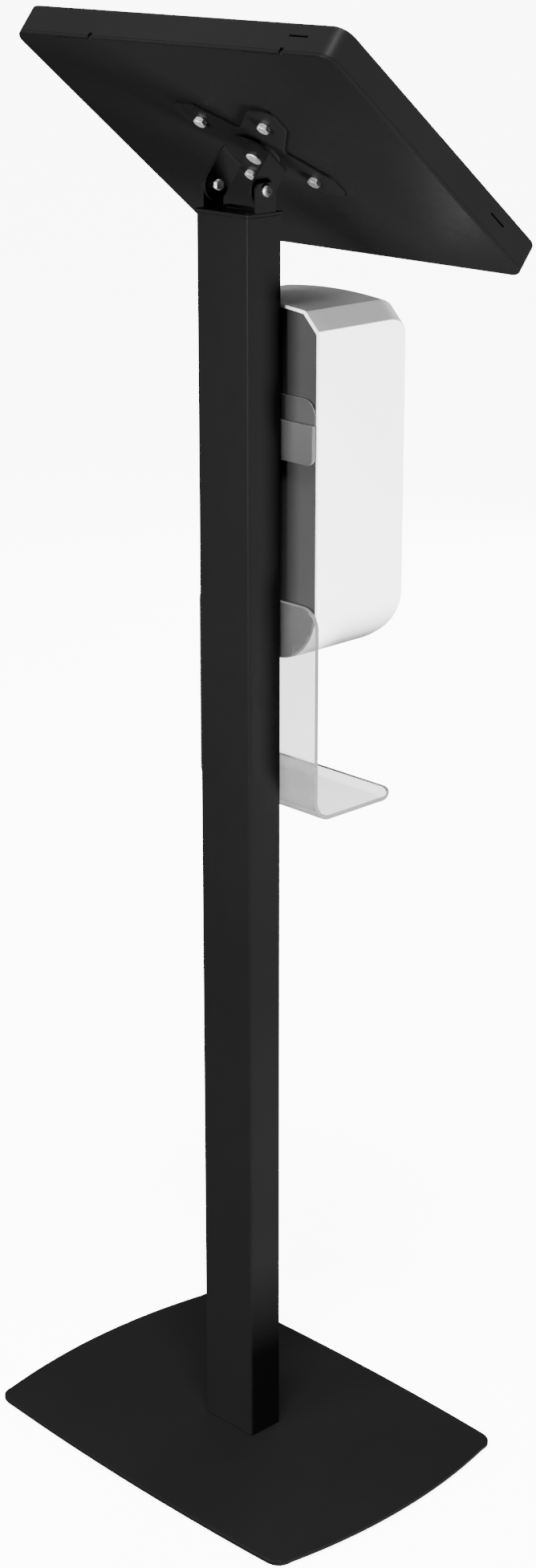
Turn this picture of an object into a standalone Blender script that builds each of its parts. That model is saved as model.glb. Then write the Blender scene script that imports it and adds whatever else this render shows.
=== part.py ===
"""Floor-standing touchscreen kiosk with a hand dispenser on its post.

Metres, +Z up. The origin is on the floor under the middle of the post. The user stands on the -Y side, so
the screen faces -Y and up, and +X is the kiosk's own left.
"""
import math

import bmesh
import bpy
from mathutils import Matrix, Vector

MM = 0.001

# Clearances
SEAT = 0.3 * MM             # between faces that rest on each other
SLIP = 0.3 * MM             # round a pin, shank or tube in its hole
SHEET_GAP = 0.4 * MM        # between the case's nested sheet walls

# Base
MAT_THICK = 2.0 * MM
MAT_INSET = 6.0 * MM
BASE_LENGTH = 384.0 * MM    # along X, between the corner points
BASE_DEPTH = 286.0 * MM     # along Y, between the corner points
BASE_END_BOW = 17.5 * MM
BASE_SIDE_BOW = 6.0 * MM
BASE_CORNER = 16.0 * MM
BASE_THICK = 5.0 * MM
BASE_EDGE = 1.0 * MM
BASE_BOLT_RADIUS = 3.0 * MM
BASE_BOLT_HEAD = 5.6 * MM
BASE_BOLT_GRIP = 8.0 * MM   # thread in the insert
BASE_BOLT_WEB = 4.0 * MM    # metal left between a bolt and the insert's side

# Post
POST_WIDTH = 63.5 * MM
POST_DEPTH = 38.1 * MM
POST_WALL = 2.0 * MM
POST_CORNER = 3.0 * MM
POST_LENGTH = 1142.7 * MM
INSERT_HEIGHT = 14.0 * MM

# Top cap and its ears
CAP_THICK = 2.5 * MM
CAP_OVERHANG = 1.5 * MM
CAP_LIP = 0.5 * MM          # plate edge outside the ears
CAP_SKIRT = 14.0 * MM
CAP_SKIRT_WALL = 2.0 * MM
CABLE_SLOT_WIDTH = 12.0 * MM
EAR_THICK = 2.5 * MM
EAR_WIDTH = 22.5 * MM
EAR_TOP = 6.5 * MM          # metal above the pivot
EAR_CORNER = 6.0 * MM
PIVOT_RISE = 18.0 * MM      # pivot above the cap

# Tilt yoke and swivel
REST_TILT = math.radians(39.25)
PIVOT_RADIUS = 2.5 * MM
PIVOT_HEAD = 4.8 * MM
PIVOT_HEAD_THICK = 3.2 * MM
PIVOT_NUT = 4.7 * MM
PIVOT_NUT_THICK = 4.0 * MM
TILT_WASHER = 8.0 * MM
TILT_WASHER_THICK = 1.0 * MM
YOKE_SHEET = 2.5 * MM
YOKE_REACH = 28.0 * MM      # pivot to the web's outer face
YOKE_EYE = 13.0 * MM        # radius of the flange's end
SPACER_RADIUS = 20.0 * MM
SPACER_THICK = 5.1 * MM
RIVET_RADIUS = 4.0 * MM
RIVET_HEAD = 7.0 * MM
RIVET_HEAD_THICK = 1.6 * MM

# Four-arm mounting plate
ARM_PLATE = 116.0 * MM
ARM_TIP = 25.0 * MM
ARM_NOTCH = 29.0 * MM       # plate centre to the foot of each notch
ARM_ROUND = 4.0 * MM
ARM_SHEET = 2.5 * MM
BOLT_SQUARE = 75.0 * MM
BOLT_RADIUS = 3.0 * MM
BOLT_HEAD = 5.75 * MM       # across corners, from the middle
BOLT_HEAD_THICK = 4.2 * MM

# Screen case
CASE_WIDTH = 372.0 * MM
CASE_HEIGHT = 296.5 * MM
CASE_DEPTH = 28.0 * MM
CASE_CORNER = 14.0 * MM
CASE_DROP = 8.8 * MM        # case centre below the bolts' centre, along the slope
CASE_EDGE = 2.0 * MM
BACK_SHEET = 2.5 * MM
BACK_FLANGE = 3.4 * MM
CASE_SHEET = 1.6 * MM
BEZEL_SHEET = 2.0 * MM
BOSS_RADIUS = 6.0 * MM
BOSS_HEIGHT = 6.0 * MM
RIVET_WELL = 12.0 * MM
HOOK_SPACING = 221.0 * MM
HOOK_LENGTH = 40.0 * MM
HOOK_PROUD = 0.7 * MM
HOOK_BAND = 4.0 * MM
NOTCH_WIDTH = 4.0 * MM
NOTCH_DEPTH = 2.4 * MM
SLOT_LENGTH = 20.4 * MM
SLOT_WIDTH = 1.8 * MM
REAR_SLOT_FROM_CORNER = 43.4 * MM
SIDE_SLOT_FROM_CORNER = 59.5 * MM
SLOT_HEIGHT = 16.2 * MM     # above the case's back face

# Tablet
TABLET_WIDTH = 281.0 * MM
TABLET_HEIGHT = 215.0 * MM
TABLET_CORNER = 18.0 * MM
TABLET_THICK = 5.6 * MM
GLASS_THICK = 1.2 * MM
GLASS_MARGIN = 2.0 * MM
WINDOW_MARGIN = 8.0 * MM    # tablet edge that the bezel covers
PAD_LENGTH = 48.0 * MM
PAD_WIDTH = 18.0 * MM
BEZEL_GAP = 0.5 * MM

# Lock
LOCK_RADIUS = 7.0 * MM
LOCK_RIM = 9.0 * MM
LOCK_RIM_THICK = 1.6 * MM
LOCK_LENGTH = 15.0 * MM
LOCK_OFFSET = 1.6 * MM      # lock's axis in front of the wall's middle
PLUG_RADIUS = 4.5 * MM
KEYWAY_WIDTH = 1.6 * MM
KEYWAY_LENGTH = 6.0 * MM
CAM_THICK = 2.0 * MM
CAM_HUB = 6.0 * MM
CAM_REACH = 12.6 * MM
CAM_WIDTH = 7.0 * MM
CATCH_SHEET = 1.6 * MM
CATCH_OVERLAP = 3.0 * MM

# Dispenser
DISP_DROP = 76.8 * MM       # cap top to dispenser top
DISP_HEIGHT = 308.0 * MM
DISP_WIDTH = 141.0 * MM
DISP_DEPTH = 112.0 * MM
DISP_BULGE = 5.0 * MM
DISP_WALL = 2.5 * MM
DISP_CROWN = 3.0 * MM
DISP_CHAMFER = 15.5 * MM
DISP_FOOT_RADIUS = 50.0 * MM
DISP_FRONT_RADIUS = 26.0 * MM
DISP_FRONT_SIDE = 12.0 * MM
PANEL_INSET = 2.0 * MM
PANEL_THICK = 2.0 * MM
PANEL_FOOT = 5.0 * MM       # panel's round feet above the cover's
PANEL_RISE = 9.2 * MM       # panel's step beside the ledge above the hinge, clear of the swinging cover
HINGE_RISE = 6.2 * MM
HINGE_SETBACK = 9.4 * MM    # hinge axis in front of the dispenser's back
PIN_RADIUS = 1.5 * MM
LUG_RADIUS = 3.4 * MM
LUG_WIDTH = 4.0 * MM
LUG_SPACING = 32.0 * MM
LEDGE_HALF = 38.5 * MM
RELIEF_HALF = 43.0 * MM     # cover cut away here, so its lower edge swings clear of the tray's plate
RESERVOIR_WIDTH = 108.0 * MM
RESERVOIR_DEPTH = 76.0 * MM
RESERVOIR_HEIGHT = 152.0 * MM
RESERVOIR_ROUND = 9.0 * MM
NECK_RADIUS = 16.0 * MM
NECK_HEIGHT = 9.0 * MM
FILLER_CAP_RADIUS = 20.0 * MM
FILLER_CAP_HEIGHT = 12.0 * MM
PUMP_WIDTH = 54.0 * MM
PUMP_DEPTH = 76.0 * MM
PUMP_HEIGHT = 72.0 * MM
PUMP_RISE = 26.0 * MM       # pump's underside above the dispenser's bottom
BATTERY_WIDTH = 20.0 * MM
BATTERY_DEPTH = 36.0 * MM
MODULE_GAP = 4.0 * MM
NOZZLE_RADIUS = 6.0 * MM
NOZZLE_TIP = 4.0 * MM
NOZZLE_PROUD = 3.0 * MM
NOZZLE_FROM_FRONT = 12.0 * MM   # nozzle axis behind the pump's front
NOZZLE_HOLE = 10.0 * MM
SENSOR_WIDTH = 16.0 * MM
SENSOR_LENGTH = 9.0 * MM
SENSOR_SETBACK = 24.0 * MM  # sensor behind the nozzle

# Hanger
HANGER_DROP = 76.0 * MM     # dispenser top to hanger plate top
HANGER_HEIGHT = 55.0 * MM
HANGER_BAR_HEIGHT = 34.0 * MM
HANGER_CORNER = 14.0 * MM
HANGER_BAR_THICK = 3.7 * MM
HANGER_BAR_INSET = 2.5 * MM  # bar's ends in from the dispenser's sides
HANGER_BAR_CORNER = 6.0 * MM
HANGER_SCREW_SPACING = 36.0 * MM
SCREW_RADIUS = 2.0 * MM
SCREW_HEAD = 3.8 * MM
SCREW_HEAD_THICK = 1.9 * MM
SCREW_REACH = 5.0 * MM      # past the post's outer face

# Drip tray
TRAY_SHEET = 4.0 * MM
TRAY_WIDTH = 145.6 * MM
TRAY_CORNER = 18.0 * MM
TRAY_BEND = 15.0 * MM
TRAY_OVERLAP = 52.5 * MM    # plate behind the dispenser
HAND_GAP = 140.2 * MM       # dispenser bottom to the tray's underside
TRAY_REACH = 95.4 * MM      # plate's back face to the tray's front
TRAY_LIP = 11.0 * MM
TRAY_LIP_BEND = 4.0 * MM
TRAY_SCREW_SPACING = 50.0 * MM
TRAY_SCREW_DROP = 24.0 * MM

# Heights and places that follow from the sizes above
BASE_BOTTOM = MAT_THICK + SEAT
BASE_TOP = BASE_BOTTOM + BASE_THICK
POST_FOOT = BASE_TOP + SEAT
POST_TOP = POST_FOOT + POST_LENGTH
CAP_BOTTOM = POST_TOP + SEAT
CAP_TOP = CAP_BOTTOM + CAP_THICK
PIVOT_Z = CAP_TOP + PIVOT_RISE
EAR_OUTER = POST_WIDTH / 2 + CAP_OVERHANG - CAP_LIP
EAR_INNER = EAR_OUTER - EAR_THICK
WASHER_OUTER = EAR_INNER - SEAT
YOKE_HALF = WASHER_OUTER - TILT_WASHER_THICK - SEAT
YOKE_INNER = YOKE_HALF - YOKE_SHEET

# Heights in the head's own frame, out from the pivot towards the screen
WEB_TOP = YOKE_REACH + YOKE_SHEET
SPACER_TOP = WEB_TOP + SEAT + SPACER_THICK
ARM_BOTTOM = SPACER_TOP + SEAT
ARM_TOP = ARM_BOTTOM + ARM_SHEET
BACK_OUT = ARM_TOP + SEAT
BACK_IN = BACK_OUT + BACK_SHEET
WALL_FOOT = BACK_IN + SEAT
BEZEL_OUT = BACK_OUT + CASE_DEPTH
BEZEL_IN = BEZEL_OUT - BEZEL_SHEET
GLASS_TOP = BEZEL_IN - BEZEL_GAP
TABLET_TOP = GLASS_TOP - GLASS_THICK - SEAT
TABLET_BOTTOM = TABLET_TOP - TABLET_THICK
CASE_TOP_Y = CASE_HEIGHT / 2 - CASE_DROP
CASE_LOW_Y = -CASE_HEIGHT / 2 - CASE_DROP
LOCK_Z = (BACK_IN + BEZEL_IN) / 2 + LOCK_OFFSET

# Dispenser and tray places
POST_FRONT = -POST_DEPTH / 2
TRAY_BACK = POST_FRONT - SEAT
TRAY_FACE = TRAY_BACK - TRAY_SHEET
DISP_REAR = TRAY_FACE - SEAT
DISP_TOP = CAP_TOP - DISP_DROP
DISP_BOTTOM = DISP_TOP - DISP_HEIGHT
PANEL_REAR = DISP_REAR - PANEL_INSET
PANEL_FRONT = PANEL_REAR - PANEL_THICK
MODULE_REAR = PANEL_FRONT - SEAT
HINGE_Y = DISP_REAR - HINGE_SETBACK
HINGE_Z = DISP_BOTTOM + HINGE_RISE
PUMP_BOTTOM = DISP_BOTTOM + PUMP_RISE
PUMP_TOP = PUMP_BOTTOM + PUMP_HEIGHT
NOZZLE_Y = MODULE_REAR - PUMP_DEPTH + NOZZLE_FROM_FRONT
SENSOR_Y = NOZZLE_Y + SENSOR_SETBACK
HANGER_TOP = DISP_TOP - HANGER_DROP
HANGER_LOW = HANGER_TOP - HANGER_HEIGHT
HANGER_REAR = POST_FRONT - SEAT
HANGER_PLATE_REAR = HANGER_REAR - HANGER_BAR_THICK - SEAT
HANGER_PLATE_FRONT = PANEL_REAR + SEAT
TRAY_LOW = DISP_BOTTOM - HAND_GAP
TRAY_TOP = DISP_BOTTOM + TRAY_OVERLAP

ROUND = 24                  # sides of a small turned piece
ARC = 6                     # steps in a rounded corner


def fresh_collection(name):
    """A new collection in the scene."""
    group = bpy.data.collections.new(name)
    bpy.context.scene.collection.children.link(group)
    return group


for old in list(bpy.data.objects):
    bpy.data.objects.remove(old, do_unlink=True)
PARTS = fresh_collection("touchscreen_kiosk")
CUTTERS = fresh_collection("kiosk_cutters")


def make_material(name, colour, roughness, metallic=0.0, transmission=0.0):
    """A plain surface: colour, roughness, metal and clearness."""
    made = bpy.data.materials.new(name)
    made.use_nodes = True
    shader = made.node_tree.nodes["Principled BSDF"]
    shader.inputs["Base Color"].default_value = (*colour, 1.0)
    shader.inputs["Roughness"].default_value = roughness
    shader.inputs["Metallic"].default_value = metallic
    shader.inputs["Transmission Weight"].default_value = transmission
    return made


POWDER = make_material("black_powder_coat", (0.016, 0.016, 0.017), 0.5)
ZINC = make_material("zinc_plate", (0.75, 0.75, 0.76), 0.28, metallic=1.0)
RUBBER = make_material("black_rubber", (0.02, 0.02, 0.02), 0.85)
WHITE = make_material("white_moulding", (0.86, 0.86, 0.86), 0.35)
GREY = make_material("grey_moulding", (0.09, 0.09, 0.095), 0.5)
BRACKET_GREY = make_material("grey_bracket", (0.2, 0.2, 0.2), 0.5)
CLEAR = make_material("clear_sheet", (0.95, 0.96, 0.96), 0.05, transmission=1.0)
MILKY = make_material("milky_bottle", (0.8, 0.82, 0.82), 0.3, transmission=0.5)
FOAM = make_material("black_foam", (0.03, 0.03, 0.03), 0.95)
TABLET = make_material("tablet_shell", (0.3, 0.3, 0.32), 0.35, metallic=0.9)
SCREEN = make_material("screen_glass", (0.008, 0.008, 0.01), 0.06)
LENS = make_material("dark_lens", (0.02, 0.005, 0.005), 0.1)


def arc(cx, cy, radius, start, end, steps=ARC):
    """Points along an arc, start and end angles in degrees."""
    points = []
    for i in range(steps + 1):
        angle = math.radians(start + (end - start) * i / steps)
        points.append((cx + radius * math.cos(angle), cy + radius * math.sin(angle)))
    return points


def circle(cx, cy, radius, steps=ROUND):
    """A closed round loop."""
    return arc(cx, cy, radius, 0, 360, steps)[:-1]


def rounded_rect(width, height, radius, cx=0.0, cy=0.0, steps=ARC):
    """A rectangle with four equal round corners, anticlockwise."""
    dx = width / 2 - radius
    dy = height / 2 - radius
    corners = ((dx, dy, 0), (-dx, dy, 90), (-dx, -dy, 180), (dx, -dy, 270))
    points = []
    for x, y, start in corners:
        points += arc(cx + x, cy + y, radius, start, start + 90, steps)
    return points


def round_corners(points, radius, steps=4):
    """A polygon whose every corner is replaced by a tangent arc."""
    rounded = []
    count = len(points)
    for i, point in enumerate(points):
        here = Vector(point)
        before = (Vector(points[i - 1]) - here).normalized()
        after = (Vector(points[(i + 1) % count]) - here).normalized()
        half = before.angle(after) / 2
        run = radius / math.tan(half)
        middle = here + (before + after).normalized() * radius / math.sin(half)
        first = here + before * run - middle
        last = here + after * run - middle
        sweep = first.angle_signed(last)
        for step in range(steps + 1):
            turned = Matrix.Rotation(-sweep * step / steps, 2) @ first
            rounded.append(tuple(middle + turned))
    return rounded


def bowed_outline(inset):
    """The base's outline: four bowed edges with round corners, drawn in by inset."""
    half_x = BASE_LENGTH / 2
    half_y = BASE_DEPTH / 2
    points = []
    edges = (((half_x, -half_y), (half_x, half_y), BASE_END_BOW, (1, 0)),
             ((half_x, half_y), (-half_x, half_y), BASE_SIDE_BOW, (0, 1)),
             ((-half_x, half_y), (-half_x, -half_y), BASE_END_BOW, (-1, 0)),
             ((-half_x, -half_y), (half_x, -half_y), BASE_SIDE_BOW, (0, -1)))
    steps = 10
    for start, end, bow, out in edges:
        trim = BASE_CORNER / (Vector(end) - Vector(start)).length
        for i in range(steps + 1):
            t = trim + (1 - 2 * trim) * i / steps
            rise = bow * 4 * t * (1 - t)
            point = Vector(start).lerp(Vector(end), t) + Vector(out) * rise
            points.append(point)
        corner = Vector(end)
        following = edges[(edges.index((start, end, bow, out)) + 1) % len(edges)]
        next_trim = BASE_CORNER / (Vector(following[1]) - Vector(following[0])).length
        next_rise = following[2] * 4 * next_trim * (1 - next_trim)
        next_point = corner.lerp(Vector(following[1]), next_trim) + Vector(following[3]) * next_rise
        last_rise = bow * 4 * trim * (1 - trim)
        control = corner + Vector(out) * last_rise + Vector(following[3]) * next_rise
        for i in range(1, ARC):
            t = i / ARC
            blend = points[-1 - (i - 1)] * (1 - t) ** 2 + control * 2 * t * (1 - t) + next_point * t ** 2
            points.append(blend)
    drawn = []
    for x, y in points:
        drawn.append((x * (1 - inset / (half_x + BASE_END_BOW)), y * (1 - inset / (half_y + BASE_SIDE_BOW))))
    return drawn


def weld(mesh):
    """Join the points that coincide and point every face outwards."""
    work = bmesh.new()
    work.from_mesh(mesh)
    bmesh.ops.remove_doubles(work, verts=work.verts, dist=1e-6)
    bmesh.ops.recalc_face_normals(work, faces=work.faces)
    work.to_mesh(mesh)
    work.free()
    return mesh


def evaluated(source):
    """The object's finished mesh; the object itself is removed."""
    bpy.context.view_layer.update()
    graph = bpy.context.evaluated_depsgraph_get()
    mesh = bpy.data.meshes.new_from_object(source.evaluated_get(graph))
    bpy.data.objects.remove(source, do_unlink=True)
    return weld(mesh)


def prism(loops, low, high):
    """A flat outline, with any holes, filled and drawn up from low to high."""
    outline = bpy.data.curves.new("outline", "CURVE")
    outline.dimensions = "2D"
    outline.fill_mode = "BOTH"
    outline.extrude = (high - low) / 2
    for loop in loops:
        spline = outline.splines.new("POLY")
        spline.points.add(len(loop) - 1)
        for point, (x, y) in zip(spline.points, loop):
            point.co = (x, y, 0.0, 1.0)
        spline.use_cyclic_u = True
    source = bpy.data.objects.new("outline", outline)
    bpy.context.scene.collection.objects.link(source)
    mesh = evaluated(source)
    mesh.transform(Matrix.Translation((0.0, 0.0, (high + low) / 2)))
    return mesh


def turned(profile, steps=ROUND):
    """A solid of revolution about Z, from (radius, height) points that run from the top down."""
    mesh = bpy.data.meshes.new("profile")
    points = [(radius, 0.0, height) for radius, height in profile]
    links = [(i, i + 1) for i in range(len(points) - 1)]
    mesh.from_pydata(points, links, [])
    source = bpy.data.objects.new("profile", mesh)
    bpy.context.scene.collection.objects.link(source)
    spin = source.modifiers.new("spin", "SCREW")
    spin.steps = steps
    spin.render_steps = steps
    spin.use_merge_vertices = True
    spin.merge_threshold = 0.00001
    made = evaluated(source)
    bpy.data.meshes.remove(mesh)
    return made


def block(low, high):
    """A box between two opposite corners."""
    work = bmesh.new()
    bmesh.ops.create_cube(work, size=1.0)
    size = Vector(high) - Vector(low)
    middle = (Vector(high) + Vector(low)) / 2
    fitted = Matrix.Translation(middle) @ Matrix.Diagonal((*size, 1))
    bmesh.ops.transform(work, verts=work.verts, matrix=fitted)
    mesh = bpy.data.meshes.new("block")
    work.to_mesh(mesh)
    work.free()
    return mesh


def rod(radius, low, high, steps=ROUND):
    """A plain cylinder along Z."""
    return turned([(0, high), (radius, high), (radius, low), (0, low)], steps)


def tube(outer, inner, low, high, steps=ROUND):
    """A plain ring along Z."""
    return turned([(inner, high), (outer, high), (outer, low), (inner, low), (inner, high)], steps)


# An outline drawn in X and Y and raised along Z is stood up by these.
# An outline in Y and Z raised along X, and one in X and Z raised along -Y
ALONG_X = Matrix(((0, 0, 1, 0), (1, 0, 0, 0), (0, 1, 0, 0), (0, 0, 0, 1)))
ALONG_Y = Matrix(((1, 0, 0, 0), (0, 0, -1, 0), (0, 1, 0, 0), (0, 0, 0, 1)))


def stood(mesh, turn, place=(0.0, 0.0, 0.0)):
    """The mesh turned by a matrix and moved to its place."""
    mesh.transform(Matrix.Translation(place) @ turn)
    return mesh


def moved(mesh, x=0.0, y=0.0, z=0.0):
    """The mesh shifted."""
    mesh.transform(Matrix.Translation((x, y, z)))
    return mesh


def soften(mesh, width, picks, segments=3):
    """Round the edges whose two ends both satisfy picks."""
    work = bmesh.new()
    work.from_mesh(mesh)
    edges = []
    for edge in work.edges:
        sharp = len(edge.link_faces) == 2 and edge.calc_face_angle(0.0) > math.radians(50)
        if sharp and all(picks(v.co) for v in edge.verts):
            edges.append(edge)
    bmesh.ops.bevel(work, geom=edges, offset=width, segments=segments, profile=0.5, affect="EDGES")
    work.to_mesh(mesh)
    work.free()
    return weld(mesh)


def everywhere(_point):
    """Every edge of a piece."""
    return True


def node(name, mesh, material, axis=None):
    """Add a finished piece; axis is the empty that it turns with."""
    piece = bpy.data.objects.new(name, mesh)
    PARTS.objects.link(piece)
    mesh.name = name
    mesh.materials.clear()
    mesh.materials.append(material)
    mesh.shade_smooth()
    mesh.set_sharp_from_angle(angle=math.radians(35))
    if axis is not None:
        mesh.transform(Matrix.Translation(-Vector(axis["from_frame"])))
        piece.parent = axis
    return piece


def combine(piece, mesh, operation):
    """Cut mesh from the piece, or join it on; the tool follows the piece."""
    tool = bpy.data.objects.new(piece.name + "_tool", mesh)
    CUTTERS.objects.link(tool)
    tool.hide_render = True
    tool.display_type = "WIRE"
    if piece.parent is not None:
        mesh.transform(Matrix.Translation(-Vector(piece.parent["from_frame"])))
        tool.parent = piece.parent
    change = piece.modifiers.new(operation.lower(), "BOOLEAN")
    change.operation = operation
    change.solver = "EXACT"
    change.object = tool


def cut(piece, *meshes):
    """Take each mesh out of the piece."""
    for mesh in meshes:
        combine(piece, mesh, "DIFFERENCE")


def join(piece, *meshes):
    """Weld each mesh on to the piece."""
    for mesh in meshes:
        combine(piece, mesh, "UNION")


def axis_empty(name, parent, place, frame_place):
    """An empty on a joint's axis: place under its parent, and the same point in the pieces' frame."""
    empty = bpy.data.objects.new(name, None)
    PARTS.objects.link(empty)
    empty.empty_display_size = 0.03
    empty.location = place
    empty.parent = parent
    empty["from_frame"] = frame_place
    return empty


def signs():
    """The four corners, as pairs of plus and minus one."""
    return ((1, 1), (-1, 1), (-1, -1), (1, -1))


# Base: a rubber sheet, a bowed steel plate and countersunk bolts up into the post's foot


def countersunk(shank, head, head_thick, length, slack=0.0):
    """A countersunk screw, head down at zero, shank up along Z; slack grows it into its hole."""
    return turned([(0, length + slack), (shank + slack, length + slack), (shank + slack, head_thick),
                   (head + slack, 0), (head + slack, -slack), (0, -slack)])


def make_base():
    """The base and what holds the post to it."""
    node("base_mat", prism([bowed_outline(MAT_INSET)], 0.0, MAT_THICK), RUBBER)
    plate_mesh = prism([bowed_outline(0.0)], BASE_BOTTOM, BASE_TOP)
    plate = node("base_plate", soften(plate_mesh, BASE_EDGE, everywhere, 2), POWDER)
    slack = SLIP
    inner_width = POST_WIDTH - 2 * POST_WALL - 2 * slack
    inner_depth = POST_DEPTH - 2 * POST_WALL - 2 * slack
    inner_corner = POST_CORNER - POST_WALL
    foot = node("post_insert", prism([rounded_rect(inner_width, inner_depth, inner_corner)],
                                     POST_FOOT, POST_FOOT + INSERT_HEIGHT), ZINC)
    reach_x = inner_width / 2 - BASE_BOLT_WEB - BASE_BOLT_RADIUS
    reach_y = inner_depth / 2 - BASE_BOLT_WEB - BASE_BOLT_RADIUS
    head_thick = BASE_BOLT_HEAD - BASE_BOLT_RADIUS
    length = BASE_THICK + SEAT + BASE_BOLT_GRIP
    for number, (sx, sy) in enumerate(signs(), 1):
        place = (sx * reach_x, sy * reach_y, BASE_BOTTOM)
        bolt = countersunk(BASE_BOLT_RADIUS, BASE_BOLT_HEAD, head_thick, length)
        node(f"base_bolt_{number}", moved(bolt, *place), ZINC)
        for piece in (plate, foot):
            hole = countersunk(BASE_BOLT_RADIUS, BASE_BOLT_HEAD, head_thick, length, slack)
            cut(piece, moved(hole, *place))


make_base()


# Post and cap


def make_post():
    """The rectangular tube, with holes for the hanger's and the tray's screws."""
    inner_corner = POST_CORNER - POST_WALL
    outer = rounded_rect(POST_WIDTH, POST_DEPTH, POST_CORNER)
    inner = rounded_rect(POST_WIDTH - 2 * POST_WALL, POST_DEPTH - 2 * POST_WALL, inner_corner)
    return node("post", prism([outer, inner], POST_FOOT, POST_TOP), POWDER)


def ear_outline():
    """One ear in Y and Z: square at the cap, round at the top."""
    half = EAR_WIDTH / 2
    top = PIVOT_Z + EAR_TOP
    left = arc(-half + EAR_CORNER, top - EAR_CORNER, EAR_CORNER, 180, 90)
    right = arc(half - EAR_CORNER, top - EAR_CORNER, EAR_CORNER, 90, 0)
    return [(-half, CAP_BOTTOM + CAP_THICK / 2)] + left + right + [(half, CAP_BOTTOM + CAP_THICK / 2)]


def make_cap():
    """Bent sheet: a plate with a cable slot, a skirt in the tube and two upright ears."""
    width = POST_WIDTH + 2 * CAP_OVERHANG
    depth = POST_DEPTH + 2 * CAP_OVERHANG
    slot_length = 2 * (YOKE_INNER - PIVOT_NUT_THICK - SEAT)
    slot = rounded_rect(slot_length, CABLE_SLOT_WIDTH, CABLE_SLOT_WIDTH / 2 - SLIP)
    outline = rounded_rect(width, depth, POST_CORNER)
    cap = node("top_cap", prism([outline, slot], CAP_BOTTOM, CAP_TOP), POWDER)
    skirt_width = POST_WIDTH - 2 * POST_WALL - 2 * SLIP
    skirt_depth = POST_DEPTH - 2 * POST_WALL - 2 * SLIP
    skirt_corner = POST_CORNER - POST_WALL
    outer = rounded_rect(skirt_width, skirt_depth, skirt_corner)
    hollow_width = skirt_width - 2 * CAP_SKIRT_WALL
    hollow_depth = skirt_depth - 2 * CAP_SKIRT_WALL
    inner = rounded_rect(hollow_width, hollow_depth, skirt_corner / 2)
    join(cap, prism([outer, inner], CAP_BOTTOM - CAP_SKIRT, CAP_BOTTOM + CAP_THICK / 2))
    pivot_hole = circle(0.0, PIVOT_Z, PIVOT_RADIUS + SLIP)
    for side in (1, -1):
        low, high = sorted((side * EAR_INNER, side * EAR_OUTER))
        join(cap, stood(prism([ear_outline(), pivot_hole], low, high), ALONG_X))


POST = make_post()
make_cap()


# Tilting head: everything below is drawn in the head's frame, with the pivot at zero, Y up the slope and
# Z out of the screen

TILT = axis_empty("tilt_axis", None, (0.0, 0.0, PIVOT_Z), (0.0, 0.0, 0.0))
TILT.rotation_euler = (REST_TILT, 0.0, 0.0)
SWIVEL = axis_empty("swivel_axis", TILT, (0.0, 0.0, 0.0), (0.0, 0.0, 0.0))


def make_pivots():
    """A screw, a washer and a nut at each ear."""
    for side, name in ((1, "left"), (-1, "right")):
        turn = Matrix.Rotation(side * math.radians(90), 4, "Y")
        head_top = EAR_OUTER + SEAT + PIVOT_HEAD_THICK
        nut_face = YOKE_INNER - SEAT
        tip = nut_face - PIVOT_NUT_THICK
        dome = PIVOT_HEAD * 0.6
        screw = turned([(0, head_top), (dome, head_top), (PIVOT_HEAD, head_top - PIVOT_HEAD_THICK * 0.5),
                        (PIVOT_HEAD, EAR_OUTER + SEAT), (PIVOT_RADIUS, EAR_OUTER + SEAT),
                        (PIVOT_RADIUS, tip),
                        (0, tip)])
        place = (0.0, 0.0, PIVOT_Z)
        node(f"pivot_screw_{name}", stood(screw, turn, place), ZINC)
        washer = tube(TILT_WASHER, PIVOT_RADIUS + SLIP, WASHER_OUTER - TILT_WASHER_THICK, WASHER_OUTER)
        node(f"tilt_washer_{name}", stood(washer, turn, place), RUBBER)
        hexagon = circle(0.0, 0.0, PIVOT_NUT, 6)
        nut = prism([hexagon, circle(0.0, 0.0, PIVOT_RADIUS + SLIP)], tip, nut_face)
        node(f"pivot_nut_{name}", stood(nut, turn, place), ZINC)


def make_yoke():
    """Bent sheet: a round-ended web across the rivet and two flanges down to the pivots."""
    web = arc(0.0, 0.0, YOKE_HALF, 0, 180, 16) + [(-YOKE_HALF, -YOKE_EYE), (YOKE_HALF, -YOKE_EYE)]
    hole = circle(0.0, 0.0, RIVET_RADIUS + SLIP)
    yoke = node("tilt_yoke", prism([web, hole], YOKE_REACH, WEB_TOP), POWDER, TILT)
    middle = YOKE_REACH + YOKE_SHEET / 2
    eye = arc(0.0, 0.0, YOKE_EYE, 180, 360, 12)
    flange = [(YOKE_EYE, middle), (-YOKE_EYE, middle)] + eye
    eye_hole = circle(0.0, 0.0, PIVOT_RADIUS + SLIP)
    for side in (1, -1):
        low, high = sorted((side * YOKE_INNER, side * YOKE_HALF))
        join(yoke, stood(prism([flange, eye_hole], low, high), ALONG_X))


def make_swivel():
    """The friction disc and the rivet that the case turns on."""
    spacer = tube(SPACER_RADIUS, RIVET_RADIUS + SLIP, WEB_TOP + SEAT, SPACER_TOP)
    node("swivel_spacer", spacer, RUBBER, TILT)
    tail = ARM_TOP + SEAT
    rivet = turned([(0, tail + RIVET_HEAD_THICK), (RIVET_HEAD, tail + RIVET_HEAD_THICK), (RIVET_HEAD, tail),
                    (RIVET_RADIUS, tail), (RIVET_RADIUS, YOKE_REACH - SEAT), (RIVET_HEAD, YOKE_REACH - SEAT),
                    (RIVET_HEAD * 0.8, YOKE_REACH - SEAT - RIVET_HEAD_THICK),
                    (0, YOKE_REACH - SEAT - RIVET_HEAD_THICK)])
    node("swivel_rivet", rivet, ZINC, TILT)


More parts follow.
